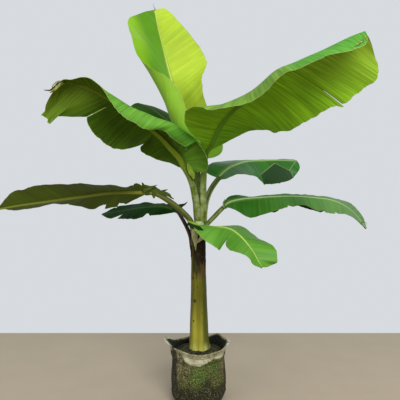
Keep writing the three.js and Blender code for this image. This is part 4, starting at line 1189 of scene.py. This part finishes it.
def soil_finish():
    """Damp potting soil: dark crumbs with straw flecks and a green cast of algae."""
    finish = Finish("soil_crumb")
    crumb = finish.noise(finish.place, 80, 5.0, 0.75)
    cells = finish.cells(finish.place, 150)
    patch = finish.noise(finish.place, 24, 3.0, 0.6)
    color = crumb.rise(0.4, 0.62).mix((10, 11, 6), (76, 72, 44))
    color = patch.rise(0.5, 0.7, 0.0, 0.5).mix(color, (44, 54, 22))
    color = (cells.fall(0.1, 0.2) * crumb.rise(0.5, 0.6) * 0.6).mix(color, (118, 104, 72))
    return finish.done(color, patch.rise(0.2, 0.8, 0.75, 0.98),
                       Normal=finish.bump(crumb + cells * 0.6, 0.004, 1.0), Specular_IOR_Level=0.15)


def stage_finish(name, color, rough):
    finish = Finish(name)
    grain = finish.noise(finish.place, 5)
    return finish.done(finish.shaded(color, grain.rise(0.2, 0.8, 0.97, 1.02)), rough)


# The plant.

# Petiole colours: deep, light, waxy, foot.
STALKS = {
    "young": ((92, 112, 30), (132, 150, 54), (178, 190, 136), (120, 118, 60)),
    "grown": ((60, 80, 8), (100, 120, 26), (176, 186, 144), (112, 112, 60)),
    "old": ((54, 64, 12), (88, 96, 28), (126, 130, 84), (74, 60, 30)),
    "dried": ((34, 24, 12), (70, 50, 28), (96, 76, 50), (36, 26, 16)),
}
# Each leaf's petiole: its colours, and how waxy it is.
STALK_OF = {
    "top": ("young", 0.6), "upper_left": ("grown", 0.5), "upper_right": ("grown", 0.5),
    "back": ("grown", 0.4), "long_left": ("old", 0.3), "small_left": ("dried", 0.2),
    "mid_right": ("grown", 0.7), "long_right": ("grown", 0.5), "front": ("young", 0.4),
}

# Dried and torn matter, and dark strips of painted shade where a blade turns under: name, with its dark,
# middle and pale tones.
HUSKS = {
    "husk": ("sheath_husk", (16, 14, 7), (46, 38, 20), (92, 72, 42)),
    "straw": ("sheath_straw", (136, 122, 84), (186, 176, 134), (206, 200, 162)),
    "moist": ("sheath_moist", (104, 106, 58), (176, 178, 128), (216, 216, 178)),
    "burnt": ("dry_tip", (40, 32, 16), (84, 66, 34), (140, 118, 62)),
    "curled": ("curled_edge", (70, 76, 24), (140, 148, 62), (206, 208, 140)),
    "shred": ("torn_edge", (44, 54, 14), (70, 84, 26), (92, 94, 46)),
    # Painted shade: the dark undersides of turned-under blade parts.
    "shade": ("turned_under_shade", (10, 30, 6), (22, 52, 14), (40, 66, 24)),
    "fresh": ("blade_foot", (92, 118, 30), (128, 156, 52), (160, 182, 84)),
}
# How ragged a strip of each kind is, and the length of its rags.
RAGS = {"fresh": (0.06, 9), "shred": (0.5, 15), "shade": (0.2, 9), "burnt": (0.3, 5), "curled": (0.3, 5)}

# Strips of old sheath, dried onto the stem under the crown: angle, width, top, foot and distance off it.
SHEATH_STRIPS = (
    (268, 34, 792, 655, 1.2), (300, 30, 800, 662, 1.6), (338, 32, 806, 640, 1.3), (20, 36, 790, 668, 1.2),
    (66, 34, 800, 650, 1.5), (112, 32, 782, 664, 1.1), (150, 30, 776, 672, 1.4), (196, 24, 768, 690, 1.2),
)

# Broken ends of sheaths at the front of the crown, a pale tongue, a tan flap and a cut edge: name, material,
# facing, widths from end to end, thickness, seed, cup and path.
SHEATH_ENDS = (
    ("sheath_tongue", "moist", (-0.3, -1, 0), [3, 12, 22, 32, 34, 30], 1.3, 201, 0.5,
     [(-12, -40, 738), (-15, -43, 775), (-19, -45, 812), (-20, -46, 846)]),
    ("sheath_flap", "straw", (0.3, -1, 0.2), [6, 17, 20, 14], 1.4, 202, 0.4,
     [(-5, -45, 776), (7, -49, 789), (21, -48, 804), (36, -41, 820)]),
    ("sheath_edge", "straw", (0, -1, 0.3), [8, 14, 12, 8], 1.3, 203, 0.3,
     [(-18, -46, 842), (-4, -50, 838), (10, -50, 838), (22, -46, 844)]),
)

# Torn and dried bits of the blades, and dark strips of painted shade where they turn under: name, slot,
# material, facing, widths from end to end, and path.
DRY_BITS = (
    ("top_thread", "leaf_young", "burnt", (0, -1, 0), [6, 3, 1.4, 1],
     [(-229, 118, 1984), (-231, 118, 2000), (-237, 114, 2012), (-238, 110, 2024)]),
    ("tip_curl", "leaf", "burnt", (0.2, -1, 0.3), [6, 15, 12, 7, 2],
     [(-566, -284, 1491), (-588, -294, 1482), (-606, -296, 1466), (-630, -294, 1452), (-657, -290, 1454)]),
    ("tip_curl_pale", "leaf", "curled", (0.4, -1, 0.1), [4, 12, 10, 3],
     [(-568, -290, 1484), (-590, -300, 1470), (-610, -302, 1450), (-628, -296, 1440)]),
    ("tip_curl_inner", "leaf", "curled", (-0.2, -1, 0.5), [3, 9, 8, 2],
     [(-578, -288, 1494), (-596, -298, 1488), (-612, -300, 1474), (-620, -296, 1462)]),
    ("edge_curl_low", "leaf", "curled", (0, -0.66, 0.75), [2, 7, 8, 3],
     [(519, -676, 1491), (532, -671, 1503), (543, -658, 1512), (554, -652, 1515)]),
    ("edge_curl_high", "leaf", "curled", (0.2, -0.66, 0.75), [3, 8, 7, 2],
     [(556, -652, 1516), (562, -646, 1527), (571, -632, 1538), (566, -622, 1549)]),
    ("right_hair", "leaf_old", "burnt", (0, -1, 0.2), [4, 2.4, 1.6, 1],
     [(742, -177, 880), (752, -179, 885), (763, -179, 881), (768, -177, 872)]),
    ("left_spike", "leaf_old", "shred", (0, -0.8, 0.5), [40, 30, 12, 2],
     [(-262, -116, 1036), (-238, -102, 1044), (-214, -92, 1050), (-196, -84, 1058)]),
    ("left_shred", "leaf_old", "shred", (0, -1, 0.2), [56, 52, 40, 30, 16, 3],
     [(-250, -98, 1030), (-222, -88, 1028), (-190, -80, 1024), (-156, -72, 1014), (-118, -58, 990)]),
    ("left_thorn", "leaf_old", "shred", (0, -1, 0.2), [14, 9, 2],
     [(-176, -74, 1024), (-162, -72, 1030), (-146, -68, 1036)]),
    ("small_foot", "leaf_old", "shade", (0, -1, 0.3), [34, 30, 22, 10, 3],
     [(-128, 60, 934), (-104, 58, 946), (-84, 56, 958), (-66, 54, 966), (-56, 52, 976)]),
    ("blade_foot", "leaf", "fresh", (-0.1, -1, 0.1), [10, 30, 28, 8],
     [(-50, -84, 1160), (-42, -86, 1138), (-30, -86, 1112), (-20, -80, 1086)]),
    ("front_fold", "leaf", "shade", (0, -0.9, 0.4), [10, 24, 26, 20, 5],
     [(-50, -118, 876), (-36, -126, 871), (-18, -132, 864), (4, -137, 855), (24, -140, 846)]),
    ("front_fold_rim", "leaf", "fresh", (0, -0.7, 0.7), [4, 12, 12, 4],
     [(-54, -114, 890), (-38, -122, 884), (-16, -128, 876), (6, -130, 866)]),
    ("right_tuck", "leaf_old", "shade", (0, -1, 0.2), [5, 14, 5],
     [(324, -158, 942), (344, -168, 935), (368, -178, 942)]),
    ("right_turn", "leaf_old", "shade", (0, -1, 0.2), [6, 14, 18, 26, 6],
     [(449, -198, 962), (485, -196, 956), (521, -190, 949), (556, -182, 943), (594, -174, 952)]),
    ("right_foot_edge", "leaf_old", "curled", (-0.4, -1, 0.2), [1, 6, 4, 6, 1],
     [(132, -30, 992), (124, -34, 974), (122, -44, 956), (132, -56, 944)]),
)


def dress(piece, slot, *nodes):
    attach(piece, "root")
    if nodes:
        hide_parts(*nodes)


def make_plant():
    skins = {kind: husk_finish(*look) for kind, look in HUSKS.items()}
    dress(stem(stem_finish()), "stem", "stem")
    dress(grow_bag(weave_finish()), "bag_weave", "grow_bag")
    dress(soil(soil_finish()), "potting_mix", "soil")
    for leaf in LEAVES:
        name = leaf.name
        look = LOOKS[name]
        sides = [leaf_side(f"{name}_upper_side", look, False), leaf_side(f"{name}_underside", look, True)]
        dress(blade(leaf, sides), look["slot"], f"leaf_{name}")
        colors, waxy = STALK_OF[name]
        skin = stalk_finish(f"{name}_stalk", STALKS[colors], waxy, look["seed"])
        slot = "petiole_old" if name == "small_left" else "petiole"
        dress(petiole(leaf, skin), slot, f"petiole_{name}")
    for k, strip in enumerate(SHEATH_STRIPS):
        dress(sheath_strip(f"husk_{k + 1}", *strip, 110 + 9 * k, skins["husk"]), "stem")
    for name, kind, face, widths, thick, seed, cup, path in SHEATH_ENDS:
        dress(ribbon(name, path, face, widths, thick, skins[kind], seed, cup, 0.12, 5), "stem")
    for k, (name, slot, kind, face, widths, path) in enumerate(DRY_BITS):
        dress(ribbon(name, path, face, widths, 0.9, skins[kind], 301 + 7 * k, 0.35, *RAGS[kind]), slot)


# The stage, in metres and watts. The floor ends in a straight line behind the plant, before pale grey air.
FLOOR_SIDE, FLOOR_FRONT, FLOOR_BACK = 6, -7, 0.943
AIR_COLOR = (0.68, 0.71, 0.74, 1)
LIGHT_SIZE = 2.4
# Each light's name, place, target and power.
LIGHTS = (
    ("key", (1.3, -3.3, 2.9), (0, 0, 1.1), 150),
    ("fill", (-2.6, -2.2, 1.8), (0, 0, 0.9), 26),
)
CAMERA_PLACE = (0.009, -1.960, 0.985)
CAMERA_LENS, CAMERA_SENSOR, CAMERA_REACH = 35.28, 36, 60


def soft_light(name, place, target, power):
    light = bpy.data.lights.new(name, "AREA")
    light.shape = "DISK"
    light.size = LIGHT_SIZE
    light.energy = power
    lamp = bpy.data.objects.new(name, light)
    bpy.context.scene.collection.objects.link(lamp)
    lamp.location = place
    away = np.subtract(target, place)
    lamp.rotation_euler = (math.pi - math.acos(away[2] / np.linalg.norm(away)), 0,
                           math.atan2(away[1], away[0]) - math.pi / 2)


def make_stage():
    bpy.ops.object.select_all(action="DESELECT")
    bpy.ops.mesh.primitive_plane_add(size=1)
    floor = bpy.context.object
    floor.name = "floor"
    corners = ((-FLOOR_SIDE, FLOOR_FRONT), (FLOOR_SIDE, FLOOR_FRONT),
               (FLOOR_SIDE, FLOOR_BACK), (-FLOOR_SIDE, FLOOR_BACK))
    order = sorted(floor.data.vertices, key=lambda v: (v.co.y > 0, v.co.x * (-1 if v.co.y > 0 else 1)))
    for vertex, (x, y) in zip(order, corners):
        vertex.co = (x, y, 0)
    floor.data.materials.append(stage_finish("pale_floor", (166, 152, 130), 0.7))
    floor.select_set(False)

    world = bpy.data.worlds.new("pale_air")
    world.use_nodes = True
    air = world.node_tree.nodes["Background"]
    air.inputs["Color"].default_value = AIR_COLOR
    air.inputs["Strength"].default_value = 1.0
    bpy.context.scene.world = world

    for light in LIGHTS:
        soft_light(*light)


def make_camera():
    lens = bpy.data.cameras.new("camera")
    lens.sensor_width = CAMERA_SENSOR
    lens.lens = CAMERA_LENS
    lens.clip_end = CAMERA_REACH
    camera = bpy.data.objects.new("camera", lens)
    bpy.context.scene.collection.objects.link(camera)
    camera.location = CAMERA_PLACE
    camera.rotation_euler = (math.pi / 2, 0, 0)
    bpy.context.scene.camera = camera
    bpy.context.scene.view_settings.view_transform = "Standard"


make_camera()
make_stage()
make_plant()
